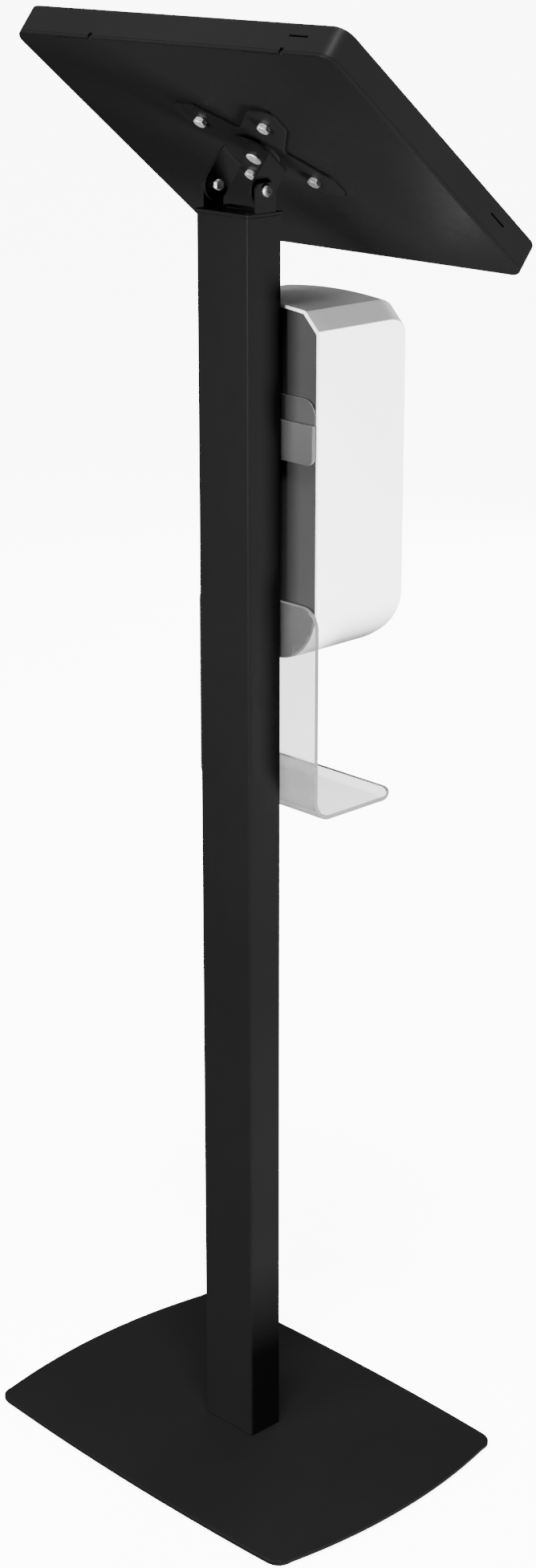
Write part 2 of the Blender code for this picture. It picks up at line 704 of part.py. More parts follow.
def arm_outline():
    """A square plate with a V notch in each side, which leaves four arms."""
    half = ARM_PLATE / 2
    waist = half - ARM_TIP
    points = []
    for quarter in range(4):
        turn = Matrix.Rotation(quarter * math.pi / 2, 2)
        for point in ((ARM_NOTCH, 0.0), (half, waist), (half, half), (waist, half)):
            points.append(tuple(turn @ Vector(point)))
    return round_corners(points, ARM_ROUND)


def make_arm_plate():
    """The four-arm plate and the hex bolts that hold the case to it."""
    loops = [arm_outline(), circle(0.0, 0.0, RIVET_RADIUS + SLIP)]
    half = BOLT_SQUARE / 2
    for sx, sy in signs():
        loops.append(circle(sx * half, sy * half, BOLT_RADIUS + SLIP, 16))
    node("arm_plate", prism(loops, ARM_BOTTOM, ARM_TOP), POWDER, SWIVEL)
    head_top = ARM_BOTTOM - SEAT
    for number, (sx, sy) in enumerate(signs(), 1):
        head = prism([circle(0.0, 0.0, BOLT_HEAD, 6)], head_top - BOLT_HEAD_THICK, head_top)
        bolt = node(f"case_bolt_{number}", moved(head, sx * half, sy * half), ZINC, SWIVEL)
        shank = rod(BOLT_RADIUS, head_top - BOLT_HEAD_THICK / 2, BACK_IN + BOSS_HEIGHT, 16)
        join(bolt, moved(shank, sx * half, sy * half))


make_pivots()
make_yoke()
make_swivel()
make_arm_plate()


# Screen case: the back plate is bolted on, and the housing hooks over its upper edge and swings open there

HOOK_PLACE = (0.0, CASE_TOP_Y, BACK_IN + SEAT / 2)
HOOK = axis_empty("hook_axis", SWIVEL, HOOK_PLACE, HOOK_PLACE)
LOCK_AXIS_PLACE = (0.0, CASE_LOW_Y, LOCK_Z)
LOCK_FROM_HOOK = Vector(LOCK_AXIS_PLACE) - Vector(HOOK_PLACE)
LOCK = axis_empty("lock_axis", HOOK, LOCK_FROM_HOOK, LOCK_AXIS_PLACE)


def case_outline(inset):
    """The case's plan, drawn in by inset on every side."""
    corner = CASE_CORNER - inset
    return rounded_rect(CASE_WIDTH - 2 * inset, CASE_HEIGHT - 2 * inset, corner, cy=-CASE_DROP)


def hook_middles():
    """The two hooks' middles along X."""
    return (HOOK_SPACING / 2, -HOOK_SPACING / 2)


def hook_notch(side_x):
    """The relief notch at the end of one hook, through the plate's and the wall's edge."""
    x = side_x - HOOK_LENGTH / 2 - NOTCH_WIDTH / 2
    low = (x - NOTCH_WIDTH / 2, CASE_TOP_Y - NOTCH_DEPTH, BACK_OUT - SEAT)
    high = (x + NOTCH_WIDTH / 2, CASE_TOP_Y + SEAT, WALL_FOOT + NOTCH_DEPTH)
    return block(low, high)


def make_back():
    """The back plate: rounded rear edge, inner flange, threaded bosses and two hook strips."""
    flat = prism([case_outline(0.0)], BACK_OUT, BACK_IN)
    flat = soften(flat, CASE_EDGE, lambda p: p.z < BACK_OUT + SEAT)
    back = node("back_plate", flat, POWDER, SWIVEL)
    lip = CASE_SHEET + SHEET_GAP
    inner = case_outline(lip + CASE_SHEET)
    join(back, prism([case_outline(lip), inner], BACK_IN - BACK_SHEET / 2, BACK_IN + BACK_FLANGE))
    half = BOLT_SQUARE / 2
    for sx, sy in signs():
        boss = rod(BOSS_RADIUS, BACK_IN - BACK_SHEET / 2, BACK_IN + BOSS_HEIGHT)
        join(back, moved(boss, sx * half, sy * half))
    for x in hook_middles():
        low = (x - HOOK_LENGTH / 2, CASE_TOP_Y - CASE_EDGE - HOOK_BAND, BACK_OUT - HOOK_PROUD)
        high = (x + HOOK_LENGTH / 2, CASE_TOP_Y - CASE_EDGE, BACK_OUT + BACK_SHEET / 2)
        join(back, soften(block(low, high), HOOK_PROUD / 2, everywhere, 1))
    for sx, sy in signs():
        hole = rod(BOLT_RADIUS + SLIP, BACK_OUT - SEAT, BACK_IN + BOSS_HEIGHT + SEAT, 16)
        cut(back, moved(hole, sx * half, sy * half))
    cut(back, rod(RIVET_WELL, BACK_OUT - SEAT, BACK_IN + SEAT))
    for x in hook_middles():
        cut(back, hook_notch(x))


def make_housing():
    """The housing: four walls, the bezel with its window, two slots, hook notches and the lock's hole."""
    shell = prism([case_outline(0.0)], WALL_FOOT, BEZEL_OUT)
    shell = soften(shell, CASE_EDGE, lambda p: p.z > BEZEL_OUT - SEAT)
    housing = node("front_housing", shell, POWDER, HOOK)
    cut(housing, prism([case_outline(CASE_SHEET)], WALL_FOOT - CASE_SHEET, BEZEL_IN))
    window_corner = TABLET_CORNER - WINDOW_MARGIN
    window = rounded_rect(TABLET_WIDTH - 2 * WINDOW_MARGIN, TABLET_HEIGHT - 2 * WINDOW_MARGIN, window_corner,
                          cy=-CASE_DROP)
    cut(housing, prism([window], BEZEL_IN - BEZEL_SHEET, BEZEL_OUT + BEZEL_SHEET))
    z = BACK_OUT + SLOT_HEIGHT
    rear_x = -CASE_WIDTH / 2 + REAR_SLOT_FROM_CORNER
    low = (rear_x - SLOT_LENGTH / 2, CASE_TOP_Y - 2 * CASE_SHEET, z - SLOT_WIDTH / 2)
    high = (rear_x + SLOT_LENGTH / 2, CASE_TOP_Y + CASE_SHEET, z + SLOT_WIDTH / 2)
    cut(housing, block(low, high))
    side_y = CASE_LOW_Y + SIDE_SLOT_FROM_CORNER
    low = (-CASE_WIDTH / 2 - CASE_SHEET, side_y - SLOT_LENGTH / 2, z - SLOT_WIDTH / 2)
    high = (-CASE_WIDTH / 2 + 2 * CASE_SHEET, side_y + SLOT_LENGTH / 2, z + SLOT_WIDTH / 2)
    cut(housing, block(low, high))
    for x in hook_middles():
        cut(housing, hook_notch(x))
    hole = rod(LOCK_RADIUS + SLIP, -2 * CASE_SHEET, 2 * CASE_SHEET)
    cut(housing, stood(hole, Matrix.Rotation(math.radians(-90), 4, "X"), LOCK_AXIS_PLACE))


def make_lock():
    """The lock in the lower wall: barrel, turning plug with its keyway, cam, and the back plate's catch."""
    inward = Matrix.Rotation(math.radians(-90), 4, "X")
    bore = PLUG_RADIUS + SLIP
    rim_face = -SEAT - LOCK_RIM_THICK
    barrel = turned([(bore, LOCK_LENGTH), (LOCK_RADIUS, LOCK_LENGTH), (LOCK_RADIUS, -SEAT),
                     (LOCK_RIM, -SEAT), (LOCK_RIM, rim_face), (bore, rim_face), (bore, LOCK_LENGTH)])
    node("lock_barrel", stood(barrel, inward, LOCK_AXIS_PLACE), ZINC, HOOK)
    cam_low = LOCK_LENGTH + SEAT
    cam_high = cam_low + CAM_THICK
    plug_rod = stood(rod(PLUG_RADIUS, rim_face, LOCK_LENGTH), inward, LOCK_AXIS_PLACE)
    plug = node("lock_plug", plug_rod, ZINC, LOCK)
    x, y, z = LOCK_AXIS_PLACE
    low = (x - KEYWAY_WIDTH / 2, y + rim_face - CAM_THICK, z - KEYWAY_LENGTH / 2)
    high = (x + KEYWAY_WIDTH / 2, y + LOCK_LENGTH / 2, z + KEYWAY_LENGTH / 2)
    cut(plug, block(low, high))
    half = CAM_WIDTH / 2
    shoulder = math.degrees(math.acos(half / CAM_HUB))
    hub = arc(0.0, 0.0, CAM_HUB, 180 - shoulder, 360 + shoulder, 16)
    tongue = [(half, CAM_REACH), (-half, CAM_REACH)]
    cam = prism([hub + tongue], cam_low, cam_high)
    node("lock_cam", stood(cam, inward, LOCK_AXIS_PLACE), ZINC, LOCK)
    lip_low = z + half + SEAT
    edge_x = CAM_REACH - CATCH_OVERLAP
    far_x = math.hypot(CAM_REACH, half) + SEAT
    cam_y = y + cam_low
    high_y = cam_y + CAM_THICK
    lip_high = lip_low + CATCH_SHEET
    upright = block((far_x, cam_y, BACK_IN + SEAT), (far_x + CATCH_SHEET, high_y, lip_high))
    catch = node("lock_catch", upright, ZINC, SWIVEL)
    join(catch, block((edge_x, cam_y, lip_low), (far_x + CATCH_SHEET / 2, high_y, lip_high)))


def make_tablet():
    """The tablet, its glass and the four corner pads that hold it off the back plate."""
    plan = rounded_rect(TABLET_WIDTH, TABLET_HEIGHT, TABLET_CORNER, cy=-CASE_DROP)
    body = prism([plan], TABLET_BOTTOM, TABLET_TOP)
    body = soften(body, TABLET_THICK / 4, lambda p: p.z < TABLET_BOTTOM + SEAT, 2)
    node("tablet_body", body, TABLET, SWIVEL)
    glass = rounded_rect(TABLET_WIDTH - 2 * GLASS_MARGIN, TABLET_HEIGHT - 2 * GLASS_MARGIN,
                         TABLET_CORNER - GLASS_MARGIN, cy=-CASE_DROP)
    node("tablet_glass", prism([glass], TABLET_TOP + SEAT, GLASS_TOP), SCREEN, SWIVEL)
    corner_x = TABLET_WIDTH / 2
    corner_y = TABLET_HEIGHT / 2
    for number, (sx, sy) in enumerate(signs(), 1):
        ell = [(0.0, 0.0), (-PAD_LENGTH, 0.0), (-PAD_LENGTH, -PAD_WIDTH), (-PAD_WIDTH, -PAD_WIDTH),
               (-PAD_WIDTH, -PAD_LENGTH), (0.0, -PAD_LENGTH)]
        placed = [(sx * (corner_x + px), sy * (corner_y + py) - CASE_DROP) for px, py in ell]
        pad = prism([placed], BACK_IN + SEAT, TABLET_BOTTOM - SEAT)
        node(f"corner_pad_{number}", pad, FOAM, SWIVEL)


make_back()
make_housing()
make_lock()
make_tablet()


# Hanger and drip tray on the post's front


def screw_turn():
    """Turns a screw that stands along Z to point into the post, along +Y."""
    return Matrix.Rotation(math.radians(-90), 4, "X")


def make_hanger():
    """A bar screwed to the post and a plate on the dispenser's back that drops on to it."""
    bar_top = HANGER_LOW + HANGER_BAR_HEIGHT
    half = DISP_WIDTH / 2 - HANGER_BAR_INSET
    corner_z = HANGER_LOW + HANGER_BAR_CORNER
    low_right = arc(half - HANGER_BAR_CORNER, corner_z, HANGER_BAR_CORNER, 270, 360)
    low_left = arc(-half + HANGER_BAR_CORNER, corner_z, HANGER_BAR_CORNER, 180, 270)
    bar_outline = low_right + [(half, bar_top), (-half, bar_top)] + low_left
    bar_mesh = stood(prism([bar_outline], -HANGER_REAR, -HANGER_REAR + HANGER_BAR_THICK), ALONG_Y)
    bar = node("hanger_bar", bar_mesh, BRACKET_GREY)
    half = DISP_WIDTH / 2 - DISP_WALL - 2 * SHEET_GAP
    top_right = arc(half - HANGER_CORNER, HANGER_TOP - HANGER_CORNER, HANGER_CORNER, 0, 90)
    top_left = arc(-half + HANGER_CORNER, HANGER_TOP - HANGER_CORNER, HANGER_CORNER, 90, 180)
    plate_outline = [(-half, HANGER_LOW), (half, HANGER_LOW)] + top_right + top_left
    plate = prism([plate_outline], -HANGER_PLATE_REAR, -HANGER_PLATE_FRONT)
    node("hanger_plate", stood(plate, ALONG_Y), BRACKET_GREY)
    z = HANGER_LOW + HANGER_BAR_HEIGHT / 2
    length = HANGER_BAR_THICK + SEAT + SCREW_REACH
    face = HANGER_REAR - HANGER_BAR_THICK
    for number, side in enumerate((1, -1), 1):
        place = (side * HANGER_SCREW_SPACING / 2, face, z)
        screw = countersunk(SCREW_RADIUS, SCREW_HEAD, SCREW_HEAD_THICK, length)
        node(f"hanger_screw_{number}", stood(screw, screw_turn(), place), ZINC)
        for piece in (bar, POST):
            hole = countersunk(SCREW_RADIUS, SCREW_HEAD, SCREW_HEAD_THICK, length, SLIP)
            cut(piece, stood(hole, screw_turn(), place))


def tray_profile():
    """The bent sheet's section in Y and Z: down the back, round the bend, along the tray and up the lip."""
    back = TRAY_BACK
    face = TRAY_FACE
    low = TRAY_LOW
    floor = TRAY_LOW + TRAY_SHEET
    front = TRAY_BACK - TRAY_REACH
    outer = TRAY_BEND + TRAY_SHEET
    lip_outer = TRAY_LIP_BEND + TRAY_SHEET
    points = [(back, TRAY_TOP)]
    points += arc(back - outer, low + outer, outer, 360, 270)
    points += arc(front + lip_outer, low + lip_outer, lip_outer, 270, 180)
    points += [(front, low + TRAY_LIP), (front + TRAY_SHEET, low + TRAY_LIP)]
    points += arc(front + lip_outer, low + lip_outer, TRAY_LIP_BEND, 180, 270)
    points += arc(face - TRAY_BEND, floor + TRAY_BEND, TRAY_BEND, 270, 360)
    points.append((face, TRAY_TOP))
    return points


def corner_waste(side):
    """What is trimmed off one top corner of the tray's back plate, in X and Z."""
    x = side * (TRAY_WIDTH / 2)
    over = TRAY_SHEET
    middle_x = x - side * TRAY_CORNER
    middle_z = TRAY_TOP - TRAY_CORNER
    round_end = arc(middle_x, middle_z, TRAY_CORNER, 90 - side * 90, 90)
    far_x = x + side * over
    outline = round_end + [(middle_x, TRAY_TOP + over), (far_x, TRAY_TOP + over), (far_x, middle_z)]
    return prism([outline], -TRAY_BACK - over, -TRAY_FACE + over)


def make_tray():
    """The clear drip tray and the two screws that hold its plate to the post."""
    half = TRAY_WIDTH / 2
    tray = node("drip_tray", stood(prism([tray_profile()], -half, half), ALONG_X), CLEAR)
    for side in (1, -1):
        cut(tray, stood(corner_waste(side), ALONG_Y))
    for number in (1, 2):
        z = DISP_BOTTOM - TRAY_SCREW_DROP - (number - 1) * TRAY_SCREW_SPACING
        place = (0.0, TRAY_FACE - SEAT, z)
        tip = SEAT + TRAY_SHEET + SEAT + SCREW_REACH
        screw = turned([(0, tip), (SCREW_RADIUS, tip), (SCREW_RADIUS, 0), (SCREW_HEAD, 0),
                        (SCREW_HEAD * 0.7, -SCREW_HEAD_THICK), (0, -SCREW_HEAD_THICK)])
        node(f"tray_screw_{number}", stood(screw, screw_turn(), place), ZINC)
        for piece in (tray, POST):
            hole = rod(SCREW_RADIUS + SLIP, -SEAT, tip + SEAT)
            cut(piece, stood(hole, screw_turn(), place))


make_hanger()
make_tray()


# Dispenser: a back panel that hangs on the post, the works on it, and a shell cover that drops open

COVER = axis_empty("cover_axis", None, (0.0, HINGE_Y, HINGE_Z), (0.0, HINGE_Y, HINGE_Z))


def dispenser_section(side, ends, foot=0.0):
    """The rear outline in X and Z, drawn in by side and by ends: crowned top, chamfers and round feet."""
    half = DISP_WIDTH / 2 - side
    top = DISP_TOP - ends
    bottom = DISP_BOTTOM + ends + foot
    radius = DISP_FOOT_RADIUS - max(side, ends)
    shoulder = top - DISP_CROWN
    inner = half - DISP_CHAMFER
    points = arc(half - radius, bottom + radius, radius, 270, 360, 7)
    points.append((half, shoulder - DISP_CHAMFER))
    steps = 6
    for i in range(steps + 1):
        x = inner * (1 - 2 * i / steps)
        points.append((x, top - DISP_CROWN * (x / inner) ** 2))
    points.append((-half, shoulder - DISP_CHAMFER))
    points += arc(-half + radius, bottom + radius, radius, 180, 270, 7)
    return points


def shell_rings(inset):
    """Rings from the open back to the rounded, bulging front, inset inside the outer surface.

    The ends turn in round a large radius, the sides round a small one that starts nearer the front.
    """
    rear = DISP_REAR
    turn_start = DISP_REAR - DISP_DEPTH + DISP_FRONT_RADIUS
    radius = DISP_FRONT_RADIUS - inset
    side_radius = DISP_FRONT_SIDE - inset
    rings = [(rear, dispenser_section(inset, inset))]
    steps = 6
    for i in range(steps + 1):
        angle = math.pi / 2 * i / steps
        depth = radius * math.sin(angle)
        past = max(0.0, depth - radius + side_radius)
        side = side_radius - math.sqrt(max(0.0, side_radius ** 2 - past ** 2))
        ends = radius * (1 - math.cos(angle))
        rings.append((turn_start - depth, dispenser_section(inset + side, inset + ends)))
    last_y, last = rings[-1]
    middle_z = (DISP_TOP + DISP_BOTTOM) / 2
    for share in (0.66, 0.33):
        ring = [(x * share, middle_z + (z - middle_z) * share) for x, z in last]
        rings.append((last_y - DISP_BULGE * (1 - share ** 2), ring))
    return rings, (0.0, last_y - DISP_BULGE, middle_z)


def cover_mesh():
    """The shell: an outer and an inner loft of rings, each closed at the front and joined at the rim."""
    work = bmesh.new()
    rims = []
    for inset in (0.0, DISP_WALL):
        rings, nose = shell_rings(inset)
        loops = [[work.verts.new((x, y, z)) for x, z in ring] for y, ring in rings]
        count = len(loops[0])
        for first, second in zip(loops, loops[1:]):
            for i in range(count):
                j = (i + 1) % count
                work.faces.new((first[i], first[j], second[j], second[i]))
        tip = work.verts.new(nose)
        for i in range(count):
            work.faces.new((loops[-1][i], loops[-1][(i + 1) % count], tip))
        rims.append(loops[0])
    outer, inner = rims
    for i in range(len(outer)):
        j = (i + 1) % len(outer)
        work.faces.new((outer[i], outer[j], inner[j], inner[i]))
    mesh = bpy.data.meshes.new("cover")
    work.to_mesh(mesh)
    work.free()
    return weld(mesh)


def hinge_lugs(spacing, foot, reach_y):
    """Two lugs on the hinge axis, each standing on foot and reaching back or forward to reach_y."""
    lugs = []
    for side in (1, -1):
        x = side * spacing / 2
        eye = rod(LUG_RADIUS, x - LUG_WIDTH / 2, x + LUG_WIDTH / 2, 12)
        lugs.append(stood(eye, Matrix.Rotation(math.radians(90), 4, "Y"), (0.0, HINGE_Y, HINGE_Z)))
        low_y, high_y = sorted((HINGE_Y, reach_y))
        high_z = HINGE_Z if foot < HINGE_Z - LUG_RADIUS else HINGE_Z + LUG_RADIUS
        lugs.append(block((x - LUG_WIDTH / 2, low_y, foot), (x + LUG_WIDTH / 2, high_y, high_z)))
    return lugs


def pin_hole():
    """The hinge pin's hole, across the dispenser."""
    half = DISP_WIDTH / 2 - DISP_FOOT_RADIUS / 2
    hole = rod(PIN_RADIUS + SLIP, -half, half, 12)
    return stood(hole, Matrix.Rotation(math.radians(90), 4, "Y"), (0.0, HINGE_Y, HINGE_Z))


def make_cover():
    """The cover, relieved at its lower back edge, with its lugs, nozzle hole and sensor window."""
    cover = node("dispenser_cover", cover_mesh(), WHITE, COVER)
    cut(cover, block((-RELIEF_HALF, HINGE_Y, DISP_BOTTOM - DISP_WALL),
                     (RELIEF_HALF, DISP_REAR + DISP_WALL, HINGE_Z + SLIP)))
    floor = DISP_BOTTOM + DISP_WALL
    front_reach = HINGE_Y - LUG_RADIUS
    for lug in hinge_lugs(LUG_SPACING, floor - DISP_WALL / 2, front_reach):
        join(cover, lug)
    cut(cover, pin_hole())
    hole = rod(NOZZLE_HOLE, DISP_BOTTOM - DISP_WALL, floor + DISP_WALL)
    cut(cover, moved(hole, 0.0, NOZZLE_Y))
    sensor = rounded_rect(SENSOR_WIDTH, SENSOR_LENGTH, SENSOR_LENGTH / 3, cy=SENSOR_Y)
    node("sensor_window", prism([sensor], DISP_BOTTOM, floor), LENS, COVER)
    slack = 2 * SLIP
    corner = SENSOR_LENGTH / 3 + SLIP
    opening = rounded_rect(SENSOR_WIDTH + slack, SENSOR_LENGTH + slack, corner, cy=SENSOR_Y)
    cut(cover, prism([opening], DISP_BOTTOM - DISP_WALL, floor + DISP_WALL))


def ledge_outline(top):
    """The ledge under the panel in X and Z: a strip whose lower corners follow the cover's round feet."""
    radius = DISP_FOOT_RADIUS - SHEET_GAP
    middle_x = DISP_WIDTH / 2 - DISP_FOOT_RADIUS
    middle_z = DISP_BOTTOM + DISP_FOOT_RADIUS
    lean = math.degrees(math.asin((LEDGE_HALF - middle_x) / radius))
    left = arc(-middle_x, middle_z, radius, 270 - lean, 270)
    right = arc(middle_x, middle_z, radius, 270, 270 + lean)
    return left + right + [(LEDGE_HALF, top), (-LEDGE_HALF, top)]


def make_panel():
    """The back panel inside the rim, stepped beside the ledge, with the lugs that carry the hinge pin."""
    inset = DISP_WALL + SHEET_GAP
    outline = dispenser_section(inset, inset, PANEL_FOOT)
    panel = node("dispenser_back", stood(prism([outline], -PANEL_REAR, -PANEL_FRONT), ALONG_Y), GREY)
    step_z = HINGE_Z + PANEL_RISE
    for side in (1, -1):
        low_x, high_x = sorted((side * (LEDGE_HALF - SLIP), side * DISP_WIDTH / 2))
        cut(panel, block((low_x, PANEL_FRONT - SLIP, DISP_BOTTOM), (high_x, PANEL_REAR + SLIP, step_z)))
    ledge = prism([ledge_outline(step_z + PANEL_THICK)], -PANEL_REAR, -PANEL_FRONT)
    join(panel, stood(ledge, ALONG_Y))
    spacing = LUG_SPACING + 2 * LUG_WIDTH + 2 * SHEET_GAP
    for lug in hinge_lugs(spacing, HINGE_Z - LUG_RADIUS / 4, PANEL_FRONT + PANEL_THICK / 2):
        join(panel, lug)
    cut(panel, pin_hole())
    half = spacing / 2 + LUG_WIDTH / 2
    pin = rod(PIN_RADIUS, -half, half, 12)
    across = Matrix.Rotation(math.radians(90), 4, "Y")
    node("cover_hinge_pin", stood(pin, across, (0.0, HINGE_Y, HINGE_Z)), ZINC)


def make_works():
    """The pump, battery box, nozzle, reservoir and its cap."""
    pump_low = (-PUMP_WIDTH / 2, MODULE_REAR - PUMP_DEPTH, PUMP_BOTTOM)
    pump_mesh = block(pump_low, (PUMP_WIDTH / 2, MODULE_REAR, PUMP_TOP))
    node("pump_unit", soften(pump_mesh, RESERVOIR_ROUND / 3, everywhere, 2), GREY)
    battery_side = PUMP_WIDTH / 2 + MODULE_GAP
    battery_mesh = block((battery_side, MODULE_REAR - BATTERY_DEPTH, PUMP_BOTTOM),
                         (battery_side + BATTERY_WIDTH, MODULE_REAR, PUMP_TOP))
    node("battery_box", soften(battery_mesh, RESERVOIR_ROUND / 4, everywhere, 2), GREY)
    tip = DISP_BOTTOM - NOZZLE_PROUD
    nozzle = turned([(0, PUMP_BOTTOM - SEAT), (NOZZLE_RADIUS, PUMP_BOTTOM - SEAT),
                     (NOZZLE_RADIUS, DISP_BOTTOM + DISP_WALL), (NOZZLE_TIP, tip), (0, tip)])
    node("nozzle", moved(nozzle, 0.0, NOZZLE_Y), GREY)
    low_z = PUMP_TOP + SEAT
    high_z = low_z + RESERVOIR_HEIGHT
    bottle_mesh = block((-RESERVOIR_WIDTH / 2, MODULE_REAR - RESERVOIR_DEPTH, low_z),
                        (RESERVOIR_WIDTH / 2, MODULE_REAR, high_z))
    bottle = node("reservoir", soften(bottle_mesh, RESERVOIR_ROUND, everywhere), MILKY)
    neck_y = MODULE_REAR - RESERVOIR_DEPTH / 2
    join(bottle, moved(rod(NECK_RADIUS, high_z - RESERVOIR_ROUND, high_z + NECK_HEIGHT), 0.0, neck_y))
    rim = NECK_RADIUS + SLIP
    top = high_z + SEAT + FILLER_CAP_HEIGHT
    inside = high_z + NECK_HEIGHT + SEAT
    lid = turned([(0, top), (FILLER_CAP_RADIUS, top), (FILLER_CAP_RADIUS, high_z + SEAT),
                  (rim, high_z + SEAT),
                  (rim, inside), (0, inside)])
    node("reservoir_cap", moved(lid, 0.0, neck_y), WHITE)


make_cover()
make_panel()
make_works()
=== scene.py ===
import math

import bmesh
import bpy
import numpy as np
from mathutils import Matrix, Vector


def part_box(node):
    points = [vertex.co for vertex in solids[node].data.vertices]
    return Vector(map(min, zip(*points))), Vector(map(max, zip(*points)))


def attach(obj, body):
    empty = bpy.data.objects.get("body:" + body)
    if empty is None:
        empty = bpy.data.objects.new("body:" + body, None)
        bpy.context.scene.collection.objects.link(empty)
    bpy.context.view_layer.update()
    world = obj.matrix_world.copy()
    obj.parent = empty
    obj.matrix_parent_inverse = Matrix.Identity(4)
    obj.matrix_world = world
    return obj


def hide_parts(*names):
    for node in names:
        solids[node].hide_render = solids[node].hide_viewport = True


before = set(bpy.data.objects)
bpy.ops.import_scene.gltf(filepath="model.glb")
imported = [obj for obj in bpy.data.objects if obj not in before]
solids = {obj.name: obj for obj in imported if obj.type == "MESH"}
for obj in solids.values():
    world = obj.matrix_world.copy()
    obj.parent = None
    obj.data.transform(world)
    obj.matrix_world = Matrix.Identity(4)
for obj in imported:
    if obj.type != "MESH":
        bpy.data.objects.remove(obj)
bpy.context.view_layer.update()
MM = 0.001

# Base mat and base plate. The plate is 5 mm laser-cut steel with four bowed edges, powder coated black,
# and lies on a thin rubber sheet that keeps it from sliding.
# The plate's edge is eased all round before it is coated.

GRAIN_LOW = 0.3
GRAIN_HIGH = 0.7
MERGE_DISTANCE = 1e-6


def new_finish(name):
    """An empty surface finish: its material, its node tree and its shader."""
    made = bpy.data.materials.new(name)
    made.use_nodes = True
    return made, made.node_tree, made.node_tree.nodes["Principled BSDF"]


def object_point(tree):
    """Where each point is on the object, in metres."""
    return tree.nodes.new("ShaderNodeTexCoord").outputs["Object"]


def grain(tree, scale, detail):
    """Soft random grain with about scale features to the metre."""
    noise = tree.nodes.new("ShaderNodeTexNoise")
    noise.inputs["Scale"].default_value = scale
    noise.inputs["Detail"].default_value = detail
    tree.links.new(object_point(tree), noise.inputs["Vector"])
    return noise.outputs["Fac"]


def tinted(tree, value, dark, light, target):
    """Runs a colour from dark to light over the grain's usual span."""
    ramp = tree.nodes.new("ShaderNodeValToRGB")
    ramp.color_ramp.elements[0].position = GRAIN_LOW
    ramp.color_ramp.elements[1].position = GRAIN_HIGH
    ramp.color_ramp.elements[0].color = (*dark, 1.0)
    ramp.color_ramp.elements[1].color = (*light, 1.0)
    tree.links.new(value, ramp.inputs["Fac"])
    tree.links.new(ramp.outputs["Color"], target)


def ranged(tree, value, low, high, target):
    """Runs a number from low to high over the grain's usual span."""
    span = tree.nodes.new("ShaderNodeMapRange")
    span.inputs["From Min"].default_value = GRAIN_LOW
    span.inputs["From Max"].default_value = GRAIN_HIGH
    span.inputs["To Min"].default_value = low
    span.inputs["To Max"].default_value = high
    tree.links.new(value, span.inputs["Value"])
    tree.links.new(span.outputs["Result"], target)


def bumped(tree, value, strength, depth, shader):
    """Raises the surface by the grain."""
    bump = tree.nodes.new("ShaderNodeBump")
    bump.inputs["Strength"].default_value = strength
    bump.inputs["Distance"].default_value = depth
    tree.links.new(value, bump.inputs["Height"])
    tree.links.new(bump.outputs["Normal"], shader.inputs["Normal"])


def grained_finish(name, dark, light, rough, cloud=7.0, patch=60.0, skin=2200.0, skin_strength=0.15,
                   skin_depth=0.0002, metallic=0.0, sheen=0.5):
    """A finish with cloudy colour, patchy roughness and a fine raised skin."""
    made, tree, shader = new_finish(name)
    tinted(tree, grain(tree, cloud, detail=3.0), dark, light, shader.inputs["Base Color"])
    ranged(tree, grain(tree, patch, detail=4.0), rough[0], rough[1], shader.inputs["Roughness"])
    bumped(tree, grain(tree, skin, detail=2.0), skin_strength, skin_depth, shader)
    shader.inputs["Metallic"].default_value = metallic
    shader.inputs["Specular IOR Level"].default_value = sheen
    return made


def seated(piece, finish, body, slot, *replaced):
    """Gives a new piece its finish, unless it has one, and the body that carries it, and hides the solids
    that it stands for; the slot is not used."""
    if finish is not None:
        piece.data.materials.append(finish)
    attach(piece, body)
    if replaced:
        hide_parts(*replaced)
    return piece


def placed(name, data):
    """A new object of a mesh, a light or a camera, put in the scene."""
    made = bpy.data.objects.new(name, data)
    bpy.context.scene.collection.objects.link(made)
    return made


def tidied(mesh, sharp=38.0, recalculate=True):
    """Merges coincident points, turns faces outwards and smooths all but the sharp edges."""
    work = bmesh.new()
    work.from_mesh(mesh)
    bmesh.ops.remove_doubles(work, verts=work.verts, dist=MERGE_DISTANCE)
    if recalculate:
        bmesh.ops.recalc_face_normals(work, faces=work.faces)
    work.to_mesh(mesh)
    work.free()
    mesh.shade_smooth()
    mesh.set_sharp_from_angle(angle=math.radians(sharp))
    return mesh


def skin(name, rows, ring=False, sharp=38.0):
    """Joins closed rows of points, an array of rows by points by xyz, into one closed surface: each row to
    the next, and the two end rows filled flat, or joined to each other in a ring."""
    count, around_row = rows.shape[:2]
    index = np.arange(count * around_row).reshape(count, around_row)
    lower = index if ring else index[:-1]
    upper = np.roll(index, -1, axis=0) if ring else index[1:]
    quads = np.stack((lower, np.roll(lower, -1, axis=1), np.roll(upper, -1, axis=1), upper), axis=-1)
    faces = quads.reshape(-1, 4).tolist()
    if not ring:
        faces += [index[0][::-1].tolist(), index[-1].tolist()]
    mesh = bpy.data.meshes.new(name)
    mesh.from_pydata(rows.reshape(-1, 3).tolist(), [], faces)
    return placed(name, tidied(mesh, sharp))


def outward(loop):
    """The unit normal at each point of a closed anticlockwise loop: the chord past it, turned a quarter."""
    chord = np.roll(loop, -1, axis=0) - np.roll(loop, 1, axis=0)
    normal = np.stack((chord[:, 1], -chord[:, 0]), axis=1)
    return normal / np.linalg.norm(normal, axis=1, keepdims=True)


